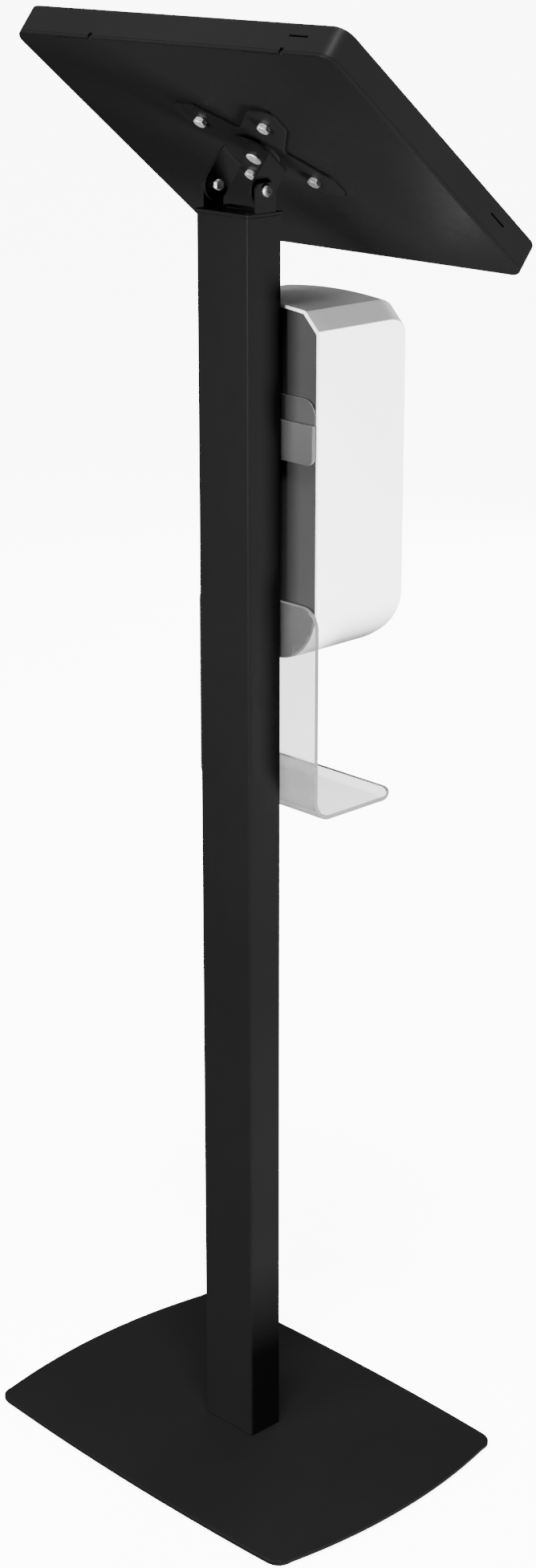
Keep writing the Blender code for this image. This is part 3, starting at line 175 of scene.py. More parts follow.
def eased_plate(loop, low, high, ease, steps=4):
    """A plate's rows: the loop drawn in by ease at both faces, swelling to full size round a quarter
    circle."""
    angle = np.linspace(0.0, math.pi / 2, steps + 1)
    inset = np.concatenate((ease * (1 - np.sin(angle)), ease * (1 - np.cos(angle))))
    height = np.concatenate((low + ease * (1 - np.cos(angle)), high - ease * (1 - np.sin(angle))))
    flat = loop[None, :, :] - outward(loop)[None, :, :] * inset[:, None, None]
    tall = np.broadcast_to(height[:, None, None], flat.shape[:2] + (1,))
    return np.concatenate((flat, tall), axis=2)


def bowed_loop(half_x, half_y, end_bow, side_bow, corner, steps=40, turn=14):
    """Four edges, each a parabola bow over its chord, joined by quadratic corner curves."""
    corners = np.array(((half_x, -half_y), (half_x, half_y), (-half_x, half_y), (-half_x, -half_y)))
    ends = np.roll(corners, -1, axis=0)
    bows = np.array((end_bow, side_bow, end_bow, side_bow))
    out = np.array(((1.0, 0.0), (0.0, 1.0), (-1.0, 0.0), (0.0, -1.0)))
    chord = ends - corners
    trim = corner / np.linalg.norm(chord, axis=1)
    t = trim[:, None] + (1 - 2 * trim[:, None]) * np.linspace(0.0, 1.0, steps)[None, :]
    rise = bows[:, None] * 4 * t * (1 - t)
    edge = corners[:, None, :] + chord[:, None, :] * t[:, :, None] + out[:, None, :] * rise[:, :, None]
    last = edge[:, -1, :]
    first = np.roll(edge[:, 0, :], -1, axis=0)
    end_rise = (bows * 4 * trim * (1 - trim))[:, None] * out
    control = ends + end_rise + np.roll(end_rise, -1, axis=0)
    b = np.linspace(0.0, 1.0, turn + 2)[1:-1][None, :, None]
    bend = last[:, None] * (1 - b) ** 2 + control[:, None] * 2 * b * (1 - b) + first[:, None] * b ** 2
    return np.concatenate((edge, bend), axis=1).reshape(-1, 2)


BASE_HALF_X = 192.0 * MM
BASE_HALF_Y = 143.0 * MM
BASE_END_BOW = 17.5 * MM
BASE_SIDE_BOW = 6.0 * MM
BASE_CORNER = 16.0 * MM
PLATE_EASE = 1.1 * MM
MAT_INSET = 6.0 * MM
MAT_EASE = 0.5 * MM
powder_coat = grained_finish("black_powder_coat", dark=(0.0045, 0.0045, 0.0047),
                             light=(0.0057, 0.0057, 0.0059), rough=(0.38, 0.46), cloud=3.0, sheen=0.025)
mat_rubber = grained_finish("mat_rubber", dark=(0.012, 0.012, 0.012), light=(0.03, 0.03, 0.03),
                            rough=(0.75, 0.92), skin=900.0, skin_strength=0.4)
base_loop = bowed_loop(BASE_HALF_X, BASE_HALF_Y, BASE_END_BOW, BASE_SIDE_BOW, BASE_CORNER)
plate_low, plate_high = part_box("base_plate")
base_piece = skin("base_plate_steel", eased_plate(base_loop, plate_low[2], plate_high[2], PLATE_EASE))
seated(base_piece, powder_coat, "stand", "black_powder_coat", "base_plate")
mat_low, mat_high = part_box("base_mat")
mat_loop = base_loop - outward(base_loop) * MAT_INSET
mat_piece = skin("base_mat_sheet", eased_plate(mat_loop, mat_low[2], mat_high[2], MAT_EASE))
seated(mat_piece, mat_rubber, "stand", "black_rubber", "base_mat")

# Post, its foot block and the bolts in it. The post is a welded rectangular steel tube with rolled
# corners; a steel block in its foot takes four countersunk bolts up through the base plate.
# The tube is powder coated with the plate; the block and bolts are zinc plated.


def rounded_loop(corners, radii, steps):
    """A polygon whose corners are arcs tangent to both sides: the arc's middle lies on the corner's
    bisector, at radius over the sine of half the corner's angle."""
    corners = np.asarray(corners, dtype=float)
    radii = np.broadcast_to(np.asarray(radii, dtype=float), len(corners))
    before = np.roll(corners, 1, axis=0) - corners
    after = np.roll(corners, -1, axis=0) - corners
    before /= np.linalg.norm(before, axis=1, keepdims=True)
    after /= np.linalg.norm(after, axis=1, keepdims=True)
    half = np.arccos(np.clip((before * after).sum(axis=1), -1.0, 1.0)) / 2
    bisector = before + after
    bisector /= np.linalg.norm(bisector, axis=1, keepdims=True)
    middle = corners + bisector * (radii / np.sin(half))[:, None]
    first = corners + before * (radii / np.tan(half))[:, None] - middle
    turn = np.sign(before[:, 1] * after[:, 0] - before[:, 0] * after[:, 1]) * (math.pi - 2 * half)
    angle = turn[:, None] * np.linspace(0.0, 1.0, steps)[None, :]
    x = first[:, None, 0] * np.cos(angle) - first[:, None, 1] * np.sin(angle)
    y = first[:, None, 0] * np.sin(angle) + first[:, None, 1] * np.cos(angle)
    return (middle[:, None, :] + np.stack((x, y), axis=2)).reshape(-1, 2)


def rectangle(half_x, half_y, radius, steps, cy=0.0):
    """A rectangle with round corners, its middle at cy on the y axis."""
    corners = ((half_x, cy - half_y), (half_x, cy + half_y), (-half_x, cy + half_y), (-half_x, cy - half_y))
    return rounded_loop(corners, radius, steps)


def lifted(loop, height):
    """A flat loop as a row of points at one height."""
    return np.column_stack((loop, np.full(len(loop), height)))


def refinished(finish, *names):
    """Gives solids whose shape is right a better finish."""
    for name in names:
        solid = solids[name]
        solid.data.materials.clear()
        solid.data.materials.append(finish)


POST_WALL = 2.0 * MM
POST_ROUND = 3.0 * MM
POST_CORNER_STEPS = 14
TUBE_EASE = 0.4 * MM
post_low, post_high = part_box("post")


def tube_loop(inset):
    """The tube's outline, drawn in by inset."""
    return rectangle(post_high[0] - inset, post_high[1] - inset, POST_ROUND - inset, POST_CORNER_STEPS)


zinc = grained_finish("bright_zinc", dark=(0.62, 0.62, 0.63), light=(0.9, 0.9, 0.91), rough=(0.5, 0.66),
                      cloud=260.0, patch=500.0, skin=3500.0, skin_strength=0.05, metallic=1.0)
tube_outer = tube_loop(0.0)
tube_slim = tube_loop(TUBE_EASE)
tube_inner = tube_loop(POST_WALL)
tube_rows = np.stack((lifted(tube_inner, post_low[2]), lifted(tube_slim, post_low[2]),
                      lifted(tube_outer, post_low[2] + TUBE_EASE),
                      lifted(tube_outer, post_high[2] - TUBE_EASE),
                      lifted(tube_slim, post_high[2]), lifted(tube_inner, post_high[2])))
seated(skin("post_tube", tube_rows, ring=True), powder_coat, "stand", "black_powder_coat", "post")
refinished(zinc, "post_insert", "base_bolt_1", "base_bolt_2", "base_bolt_3", "base_bolt_4")

# Top cap. One bent steel sheet: a plate with a cable slot over the tube's mouth, a skirt inside the tube
# and two upright ears for the pivots, powder coated black.
# Its cut edges are deburred, so the solid is copied and every sharp edge gets a small round.

FLAT_ANGLE = math.radians(0.6)
SHARP_ANGLE = math.radians(32.0)


def settled(piece):
    """Bakes the piece's modifiers into its mesh."""
    bpy.context.view_layer.update()
    graph = bpy.context.evaluated_depsgraph_get()
    mesh = bpy.data.meshes.new_from_object(piece.evaluated_get(graph))
    piece.modifiers.clear()
    piece.data = mesh
    return piece


def flat_lit(piece):
    """Leans each point's shading to its widest faces, so flats look flat and only the eased edges turn,
    and bakes the modifiers."""
    piece.data.shade_smooth()
    piece.modifiers.new("flats", "WEIGHTED_NORMAL").keep_sharp = True
    return settled(piece)


def eased_copy(node, name, width, steps=2):
    """A copy of a solid with its points merged, its flat faces rejoined and its sharp edges rounded by
    width."""
    mesh = solids[node].data.copy()
    mesh.materials.clear()
    work = bmesh.new()
    work.from_mesh(mesh)
    bmesh.ops.remove_doubles(work, verts=work.verts, dist=MERGE_DISTANCE)
    bmesh.ops.dissolve_limit(work, angle_limit=FLAT_ANGLE, verts=work.verts, edges=work.edges)
    work.to_mesh(mesh)
    work.free()
    piece = placed(name, mesh)
    ease = piece.modifiers.new("ease", "BEVEL")
    ease.width = width
    ease.segments = steps
    ease.limit_method = "ANGLE"
    ease.angle_limit = SHARP_ANGLE
    ease.use_clamp_overlap = True
    return flat_lit(piece)


cap = eased_copy("top_cap", "top_cap_sheet", width=0.5 * MM)
seated(cap, powder_coat, "stand", "black_powder_coat", "top_cap")

# Pivot screws, washers and nuts. A zinc-plated button-head screw goes through each ear, a black fibre
# washer and the yoke's flange into a nut inside.
# Tightening them sets how stiffly the head tilts.

PIVOT_Z = 1171.1 * MM
EAR_FACE = 32.75 * MM
HEAD_GAP = 0.1 * MM


def around(points, steps=72):
    """Angles round a turned piece, as a row to set against a column of its profile."""
    return np.linspace(0.0, 2 * math.pi, steps, endpoint=False)[None, :].repeat(points, axis=0)


def hexagon(angle, flat):
    """The radius of a hexagon in a direction: half its width across flats over the cosine to the nearest
    flat."""
    sixth = math.pi / 3
    return flat / np.cos((angle + sixth / 2) % sixth - sixth / 2)


def turned_rows(radius, height, angle, place):
    """Rows of a turned piece: radius and height for each row and angle, put in place by a matrix."""
    local = np.stack((radius * np.cos(angle), radius * np.sin(angle), height + 0 * angle), axis=-1)
    turn = np.array(place)
    return local @ turn[:3, :3].T + turn[:3, 3]


def button_screw_rows(place, face, head, head_high, shank, tip, socket):
    """A button head with a hexagon socket: down into the socket, out over the dome, back to the shank and
    along it; every row is a circle but the socket's two, which are hexagons."""
    top = face + head_high
    socket_floor = top - 0.55 * head_high
    mouth = 1.35 * socket
    brim_high = 0.35 * head_high
    under_head = 0.97 * head
    point = 0.8 * shank
    point_long = 0.3 * shank
    dome = np.linspace(0.0, math.pi / 2, 8)
    dome_r = mouth + (head - mouth) * np.sin(dome)
    dome_h = face + brim_high + (head_high - brim_high) * np.cos(dome)
    r = np.concatenate(((socket, socket), dome_r, (under_head, shank, shank, point)))
    h = np.concatenate(((socket_floor, top), dome_h, (face, face, tip + point_long, tip)))
    angle = around(len(r))
    radius = r[:, None].repeat(angle.shape[1], axis=1)
    radius[:2] = hexagon(angle[:2], socket)
    return turned_rows(radius, h[:, None], angle, place)


fibre = grained_finish("washer_fibre", dark=(0.004, 0.004, 0.004), light=(0.008, 0.008, 0.0082),
                       rough=(0.6, 0.8), skin=1500.0, sheen=0.03)
for side, hand in ((1, "left"), (-1, "right")):
    on_pivot = Matrix.Translation((0.0, 0.0, PIVOT_Z)) @ Matrix.Rotation(side * math.pi / 2, 4, "Y")
    rows = button_screw_rows(on_pivot, face=EAR_FACE + HEAD_GAP, head=4.8 * MM, head_high=3.3 * MM,
                             shank=2.5 * MM, tip=21.9 * MM, socket=1.5 * MM)
    screw = skin(f"pivot_button_screw_{hand}", rows)
    seated(screw, zinc, "stand", "zinc_plate", f"pivot_screw_{hand}")
    nut = eased_copy(f"pivot_nut_{hand}", f"pivot_hex_nut_{hand}", width=0.35 * MM)
    seated(nut, zinc, "stand", "zinc_plate", f"pivot_nut_{hand}")
refinished(fibre, "tilt_washer_left", "tilt_washer_right")

# Tilt yoke. One 2.5 mm steel strip bent into a U: two flanges with round ends on the pivots, and a web
# across the top with a half-round rear edge, powder coated black.
# It is drawn in the head's own frame, with the pivot at zero, s up the slope and n out of the screen.

TILT = math.radians(39.25)
HEAD = Matrix.Translation((0.0, 0.0, PIVOT_Z)) @ Matrix.Rotation(TILT, 4, "X")
YOKE_HALF = 28.65 * MM
YOKE_SHEET = 2.5 * MM
YOKE_WEB = 29.25 * MM
YOKE_BEND = 3.75 * MM
YOKE_EYE = 13.0 * MM
YOKE_EASE = 0.4 * MM
EYE_START = 0.02
CUT_ANGLE = math.radians(50.0)


def in_head(points):
    """Points of the head's frame, put in place on the post."""
    turn = np.array(HEAD)
    return points @ turn[:3, :3].T + turn[:3, 3]


def open_sheet(name, grid, thick, ease, *finishes):
    """A sheet on a grid of points, thickened equally to both sides and eased along its cut edges, in one
    finish or with a second one on its edge."""
    count, across = grid.shape[:2]
    index = np.arange(count * across).reshape(count, across)
    quads = np.stack((index[:-1, :-1], index[:-1, 1:], index[1:, 1:], index[1:, :-1]), axis=-1)
    mesh = bpy.data.meshes.new(name)
    mesh.from_pydata(grid.reshape(-1, 3).tolist(), [], quads.reshape(-1, 4).tolist())
    tidied(mesh)
    for finish in finishes:
        mesh.materials.append(finish)
    piece = placed(name, mesh)
    sheet = piece.modifiers.new("sheet", "SOLIDIFY")
    sheet.thickness = thick
    sheet.offset = 0.0
    sheet.use_even_offset = True
    sheet.material_offset_rim = len(finishes) - 1
    edge = piece.modifiers.new("ease", "BEVEL")
    edge.width = ease
    edge.segments = 3
    edge.limit_method = "ANGLE"
    edge.angle_limit = CUT_ANGLE
    return flat_lit(piece)


def mirrored(half):
    """A half run of values followed by itself backwards, without its last one twice."""
    return np.concatenate((half, half[-2::-1]))


def yoke_grid():
    """The strip's middle surface: along it, up one flange, round a bend, over the web and down; across it,
    from the straight front edge to the rear edge, which follows the eye's circle or the web's half disc."""
    tip = -YOKE_EYE * np.cos(np.linspace(EYE_START, math.pi / 2, 12))
    rise = np.linspace(0.0, YOKE_WEB - YOKE_BEND, 6)[1:]
    bend = np.linspace(0.0, math.pi / 2, 9)[1:]
    middle = YOKE_HALF - YOKE_SHEET / 2
    web = np.linspace(middle - YOKE_BEND, 0.0, 14)[1:]
    x = np.concatenate((np.full(len(tip) + len(rise), middle), middle - YOKE_BEND * (1 - np.cos(bend)), web))
    n = np.concatenate((tip, rise, YOKE_WEB - YOKE_BEND * (1 - np.sin(bend)), np.full(len(web), YOKE_WEB)))
    eye = np.sqrt(np.maximum(YOKE_EYE ** 2 - np.minimum(n, 0.0) ** 2, 0.0))
    disc = np.sqrt(np.maximum(YOKE_HALF ** 2 - x ** 2, 0.0))
    rear = np.where(n > YOKE_WEB - YOKE_BEND, np.maximum(eye, disc), eye)
    x = np.concatenate((-x, x[-2::-1]))
    n = mirrored(n)
    eye = mirrored(eye)
    rear = mirrored(rear)
    share = np.linspace(0.0, 1.0, 21)[None, :]
    s = -eye[:, None] + (rear + eye)[:, None] * share
    return in_head(np.stack((x[:, None] + 0 * s, s, n[:, None] + 0 * s), axis=2))


yoke = open_sheet("tilt_yoke_strip", yoke_grid(), YOKE_SHEET, YOKE_EASE, powder_coat)
seated(yoke, None, "tilt_head", "black_powder_coat", "tilt_yoke")

# Swivel disc and rivet. A black friction disc parts the yoke from the mounting plate, and a zinc-plated
# shouldered rivet with a low domed head holds all three together.
# The case turns on it between wide and tall.

RIVET_HEAD = 7.0 * MM
RIVET_SHANK = 4.0 * MM
RIVET_END_FACE = 6.4 * MM
RIVET_POLE = 0.05 * MM
RIVET_DOME = 1.2 * MM
RIVET_BRIM_N = 27.3 * MM
RIVET_SEAT_N = 27.8 * MM
RIVET_TAIL_N = 38.95 * MM
RIVET_EDGE_N = 40.2 * MM
RIVET_END_N = 40.5 * MM


def rivet_rows():
    """A low dome, the shank and a flat tail, each row a circle about the swivel axis."""
    dome = np.linspace(0.0, math.pi / 2, 9)
    r = np.concatenate((RIVET_HEAD * np.sin(dome), (RIVET_HEAD, RIVET_SHANK, RIVET_SHANK, RIVET_HEAD,
                                                    RIVET_HEAD, RIVET_END_FACE)))
    h = np.concatenate((RIVET_BRIM_N - RIVET_DOME * np.cos(dome),
                        (RIVET_SEAT_N, RIVET_SEAT_N, RIVET_TAIL_N, RIVET_TAIL_N, RIVET_EDGE_N, RIVET_END_N)))
    r[0] = RIVET_POLE
    angle = around(len(r))
    return turned_rows(r[:, None].repeat(angle.shape[1], axis=1), h[:, None], angle, HEAD)


refinished(fibre, "swivel_spacer")
seated(skin("swivel_rivet_turned", rivet_rows()), zinc, "tilt_head", "zinc_plate", "swivel_rivet")

# Mounting plate and case bolts. A flat 2.5 mm steel plate with a V notch in each side, which leaves four
# arms, and a zinc-plated hexagon bolt at each arm's end into the case's bosses.
# The bolts are on a 75 mm square.

ARM_LOW = 36.2 * MM
ARM_HIGH = 38.7 * MM
ARM_REACH = 58.0 * MM
ARM_WAIST = 33.0 * MM
ARM_EASE = 0.45 * MM
NOTCH_FOOT = 29.0 * MM
NOTCH_ROUND = 4.0 * MM
WAIST_ROUND = 9.0 * MM
TIP_ROUND = 7.0 * MM
BOLT_HALF = 37.5 * MM
BOLT_FLAT = 5.0 * MM
BOLT_SHANK = 3.0 * MM
BOLT_POINT = 2.4 * MM
BOLT_POLE = 0.3 * MM
CONE_FACE = 4.55 * MM
CONE_DEEP = 1.4 * MM
CONE_SLOPE = 1.73
BOLT_TOP_N = 31.7 * MM
HEX_END_N = 35.5 * MM
WASHER_END_N = 36.1 * MM
SHANK_END_N = 46.8 * MM
BOLT_END_N = 47.4 * MM
BOLT_SHARP = 24.0


def arm_loop():
    """Four arms: a notch foot, two waist corners and a tip for each quarter, every corner an arc."""
    quarter = np.array(((NOTCH_FOOT, 0.0), (ARM_REACH, ARM_WAIST), (ARM_REACH, ARM_REACH),
                        (ARM_WAIST, ARM_REACH)))
    turn = np.array(((0.0, -1.0), (1.0, 0.0)))
    turns = np.stack((np.eye(2), turn, turn @ turn, turn @ turn @ turn))
    corners = np.einsum("qij,kj->qki", turns, quarter).reshape(-1, 2)
    radii = np.tile((NOTCH_ROUND, WAIST_ROUND, TIP_ROUND, WAIST_ROUND), 4)
    return rounded_loop(corners, radii, steps=9)


def bolt_rows(x, s):
    """A hexagon head whose top is cut by a shallow cone, so its radius is the smaller of hexagon and cone,
    with a washer face under it and a shank with a short point."""
    cone = np.linspace(0.0, CONE_DEEP, 8)
    height = np.concatenate(((BOLT_TOP_N,), BOLT_TOP_N + cone,
                             (HEX_END_N, HEX_END_N, WASHER_END_N, WASHER_END_N, SHANK_END_N, BOLT_END_N)))
    angle = around(len(height))
    hex_r = hexagon(angle[:1], BOLT_FLAT)
    cone_r = np.minimum(hex_r, (CONE_FACE + cone * CONE_SLOPE)[:, None])
    plain = np.array((BOLT_FLAT, BOLT_FLAT, BOLT_SHANK, BOLT_SHANK, BOLT_POINT))
    plain_r = plain[:, None].repeat(angle.shape[1], axis=1)
    radius = np.concatenate((0 * hex_r + BOLT_POLE, cone_r, hex_r, plain_r))
    return turned_rows(radius, height[:, None], angle, HEAD @ Matrix.Translation((x, s, 0.0)))


arm_rows = in_head(eased_plate(arm_loop(), ARM_LOW, ARM_HIGH, ARM_EASE))
seated(skin("arm_plate_steel", arm_rows), powder_coat, "screen_case", "black_powder_coat", "arm_plate")
for number, (sx, sy) in enumerate(((1, 1), (-1, 1), (-1, -1), (1, -1)), 1):
    bolt = skin(f"case_hex_bolt_{number}", bolt_rows(sx * BOLT_HALF, sy * BOLT_HALF), sharp=BOLT_SHARP)
    seated(bolt, zinc, "screen_case", "zinc_plate", f"case_bolt_{number}")

# Case back plate and catch. The back is a 2.5 mm steel plate with a rolled rear edge, two proud hook
# strips along its upper edge, and a low flange inside the walls.
# The catch for the lock stands inside it, zinc plated.

back_plate = eased_copy("back_plate", "back_plate_steel", width=0.3 * MM)
seated(back_plate, powder_coat, "screen_case", "black_powder_coat", "back_plate")
catch = eased_copy("lock_catch", "lock_catch_sheet", width=0.25 * MM)
seated(catch, zinc, "screen_case", "zinc_plate", "lock_catch")

# Front housing. A folded and welded steel frame: four walls with round corners, and a bezel with the
# screen's window, powder coated black.
# It hooks over the back plate's upper edge, swings open there and locks at its lower edge.

housing = eased_copy("front_housing", "front_housing_steel", width=0.3 * MM)
seated(housing, powder_coat, "housing", "black_powder_coat", "front_housing")

# Lock. A small cam lock in the lower wall: a plated barrel with a flat rim, a plug with a keyway, and the
# cam that turns under the catch.

barrel = eased_copy("lock_barrel", "lock_barrel_turned", width=0.4 * MM)
seated(barrel, zinc, "housing", "zinc_plate", "lock_barrel")
plug = eased_copy("lock_plug", "lock_plug_turned", width=0.2 * MM)
seated(plug, zinc, "lock", "zinc_plate", "lock_plug")
cam = eased_copy("lock_cam", "lock_cam_plate", width=0.25 * MM)
seated(cam, zinc, "lock", "zinc_plate", "lock_cam")

# Tablet and its corner pads. An anodised aluminium shell and a black glass, switched off, with a slightly
# greyer picture area; four black foam pads hold it up behind the bezel.
# The glass keeps faint finger marks.

PICTURE_HALF_X = 130.5 * MM
PICTURE_HALF_S = 97.5 * MM
CASE_MIDDLE = -8.8 * MM
GLASS_HALF_X = 138.5 * MM
GLASS_HALF_S = 105.5 * MM
GLASS_CORNER = 16.0 * MM
GLASS_LOW = 63.3 * MM
GLASS_HIGH = 64.5 * MM
GLASS_EASE = 0.35 * MM
SMUDGES_PER_METRE = 28.0


def worked(tree, operation, first, second=0.0):
    """One sum on two values, each of them a number or what another node gives."""
    node = tree.nodes.new("ShaderNodeMath")
    node.operation = operation
    for socket, value in zip(node.inputs, (first, second)):
        if isinstance(value, float):
            socket.default_value = value
        else:
            tree.links.new(value, socket)
    return node.outputs["Value"]


def glass_finish():
    """Black glass: a rectangle test in the screen's own plane lifts the picture area a shade; smudges in the
    roughness."""
    made, tree, shader = new_finish("screen_glass_off")
    shift = tree.nodes.new("ShaderNodeVectorMath")
    shift.operation = "SUBTRACT"
    shift.inputs[1].default_value = HEAD @ Vector((0.0, CASE_MIDDLE, 0.0))
    back = tree.nodes.new("ShaderNodeMapping")
    back.inputs["Rotation"].default_value = (-TILT, 0.0, 0.0)
    apart = tree.nodes.new("ShaderNodeSeparateXYZ")
    tree.links.new(object_point(tree), shift.inputs[0])
    tree.links.new(shift.outputs["Vector"], back.inputs["Vector"])
    tree.links.new(back.outputs["Vector"], apart.inputs["Vector"])
    in_width = worked(tree, "LESS_THAN", worked(tree, "ABSOLUTE", apart.outputs["X"]), PICTURE_HALF_X)
    in_height = worked(tree, "LESS_THAN", worked(tree, "ABSOLUTE", apart.outputs["Y"]), PICTURE_HALF_S)
    picture = worked(tree, "MULTIPLY", in_width, in_height)
    tinted(tree, picture, dark=(0.0025, 0.0025, 0.003), light=(0.011, 0.012, 0.015),
           target=shader.inputs["Base Color"])
    smudges = grain(tree, SMUDGES_PER_METRE, detail=4.0)
    ranged(tree, smudges, low=0.03, high=0.16, target=shader.inputs["Roughness"])
    return made


shell_grey = grained_finish("anodised_shell", dark=(0.24, 0.24, 0.255), light=(0.32, 0.32, 0.335),
                            rough=(0.3, 0.42), cloud=12.0, skin=4000.0, skin_strength=0.08, metallic=0.9)
foam = grained_finish("pad_foam", dark=(0.015, 0.015, 0.015), light=(0.04, 0.04, 0.04), rough=(0.85, 0.98),
                      cloud=400.0, skin=1100.0, skin_strength=0.7, skin_depth=0.0005)
refinished(foam, "corner_pad_1", "corner_pad_2", "corner_pad_3", "corner_pad_4")
refinished(shell_grey, "tablet_body")
glass_loop = rectangle(GLASS_HALF_X, GLASS_HALF_S, GLASS_CORNER, steps=16, cy=CASE_MIDDLE)
glass = skin("tablet_glass_sheet", in_head(eased_plate(glass_loop, GLASS_LOW, GLASS_HIGH, GLASS_EASE)))
seated(glass, glass_finish(), "screen_case", "screen_glass", "tablet_glass")

# Hanger. A bar screwed to the post's front and a plate with round upper corners on the dispenser's back,
# which drops on to it; both are grey sheet and stand one behind the other.

BAR_ROUND = 6.0 * MM
HOOK_ROUND = 14.0 * MM
SQUARE_CORNER = 0.5 * MM
HANGER_EASE = 0.3 * MM
# The bar and the plate are one grey sheet: the plate's grey is darker than the bar's, painted shade for the
# gap it stands deeper in.
bar_grey = grained_finish("hanger_bar_grey", dark=(0.036, 0.036, 0.036), light=(0.044, 0.044, 0.044),
                          rough=(0.35, 0.5), sheen=0.1)
plate_shaded_grey = grained_finish("hanger_plate_painted_shade", dark=(0.026, 0.026, 0.026), light=(0.033, 0.033, 0.033),
                            rough=(0.4, 0.55), sheen=0.1)
# The rim finish is lighter and glossier than the faces' greys: a painted highlight along the sheets' edges.
rim_highlight_grey = grained_finish("hanger_rim_painted_highlight", dark=(0.06, 0.06, 0.06), light=(0.075, 0.075, 0.075),
                          rough=(0.25, 0.4))


def hanger_sheet(name, node, lower, upper, face):
    """A solid's rectangle in x and z, with one radius at its lower corners and another at its upper ones, as
    thick as the solid along y, with one finish on its two faces and a lighter, glossier one on the rows of
    its
    rim: a painted highlight along its edges."""
    low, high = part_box(node)
    corners = ((high[0], low[2]), (high[0], high[2]), (low[0], high[2]), (low[0], low[2]))
    loop = rounded_loop(corners, (lower, upper, upper, lower), steps=12)
    flat = eased_plate(loop, low[1], high[1], HANGER_EASE)
    piece = skin(name, np.stack((flat[:, :, 0], flat[:, :, 2], flat[:, :, 1]), axis=2))
    piece.data.materials.append(face)
    piece.data.materials.append(rim_highlight_grey)
    sides = np.empty(len(piece.data.polygons), dtype=np.int32)
    piece.data.polygons.foreach_get("loop_total", sides)
    piece.data.polygons.foreach_set("material_index", (sides == 4).astype(np.int32))
    return piece


bar = hanger_sheet("hanger_bar_sheet", "hanger_bar", BAR_ROUND, SQUARE_CORNER, bar_grey)
seated(bar, None, "stand", "grey_bracket", "hanger_bar")
hook = hanger_sheet("hanger_plate_sheet", "hanger_plate", SQUARE_CORNER, HOOK_ROUND, plate_shaded_grey)
seated(hook, None, "stand", "grey_bracket", "hanger_plate")
refinished(zinc, "hanger_screw_1", "hanger_screw_2")

# Drip tray. One sheet of 4 mm clear acrylic, its edges flame polished, bent twice over a hot wire: a back
# plate with round upper corners, a tray forward under the nozzle and a low front lip.
# Two button-head screws hold it to the post.

TRAY_SHEET = 4.0 * MM
TRAY_HALF = 72.8 * MM
TRAY_BEND = 17.0 * MM
TRAY_CORNER = 18.0 * MM
TRAY_EASE = 0.5 * MM
LIP_BEND = 6.0 * MM
LIP_HIGH = 11.0 * MM
LIP_ROUND = 6.0 * MM
ACRYLIC_INDEX = 1.49
SCREW_HEAD_HIGH = 1.9 * MM
tray_low, tray_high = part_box("drip_tray")


def tray_grid():
    """The sheet's middle surface: down the plate, round the large bend, forward and up the lip; its half
    width follows a circle at the top corners and at the lip's ends."""
    half = TRAY_SHEET / 2
    back = tray_high[1] - half
    floor = tray_low[2] + half
    front = tray_low[1] + half
    fall = TRAY_CORNER * (1 - np.cos(np.linspace(0.0, math.pi / 2, 14)))
    straight = np.linspace(tray_high[2] - TRAY_CORNER, floor + TRAY_BEND, 8)[1:]
    turn = np.linspace(0.0, math.pi / 2, 14)[1:]
    run = np.linspace(back - TRAY_BEND, front + LIP_BEND, 12)[1:]
    rise = np.linspace(floor + LIP_BEND, tray_low[2] + LIP_HIGH, 5)[1:]
    y = np.concatenate((np.full(len(fall) + len(straight), back), back - TRAY_BEND * (1 - np.cos(turn)), run,
                        front + LIP_BEND * (1 - np.sin(turn)), np.full(len(rise), front)))
    z = np.concatenate((tray_high[2] - fall, straight, floor + TRAY_BEND * (1 - np.sin(turn)),
                        np.full(len(run), floor), floor + LIP_BEND * (1 - np.cos(turn)), rise))
    from_top = np.maximum(TRAY_CORNER - (tray_high[2] - z), 0.0)
    width = TRAY_HALF - TRAY_CORNER + np.sqrt(np.maximum(TRAY_CORNER ** 2 - from_top ** 2, 0.0))
    step = np.concatenate(((0.0,), np.hypot(np.diff(y), np.diff(z))))
    to_end = np.maximum(LIP_ROUND - (step.sum() - np.cumsum(step)), 0.0)
    width = width - LIP_ROUND + np.sqrt(np.maximum(LIP_ROUND ** 2 - to_end ** 2, 0.0))
    x = width[:, None] * np.linspace(-1.0, 1.0, 25)[None, :]
    return np.stack((x, y[:, None] + 0 * x, z[:, None] + 0 * x), axis=2)


def acrylic_finish(name, dark, light, haze, clear):
    """Clear sheet with a faint grey body, fine handling haze and a slow waviness."""
    made, tree, shader = new_finish(name)
    body = grain(tree, 9.0, detail=2.0)
    tinted(tree, body, (dark,) * 3, (light,) * 3, shader.inputs["Base Color"])
    handling = grain(tree, 45.0, detail=4.0)
    ranged(tree, handling, haze[0], haze[1], shader.inputs["Roughness"])
    wave = grain(tree, 25.0, detail=1.0)
    bumped(tree, wave, strength=0.02, depth=0.001, shader=shader)
    shader.inputs["Transmission Weight"].default_value = clear
    shader.inputs["IOR"].default_value = ACRYLIC_INDEX
    return made


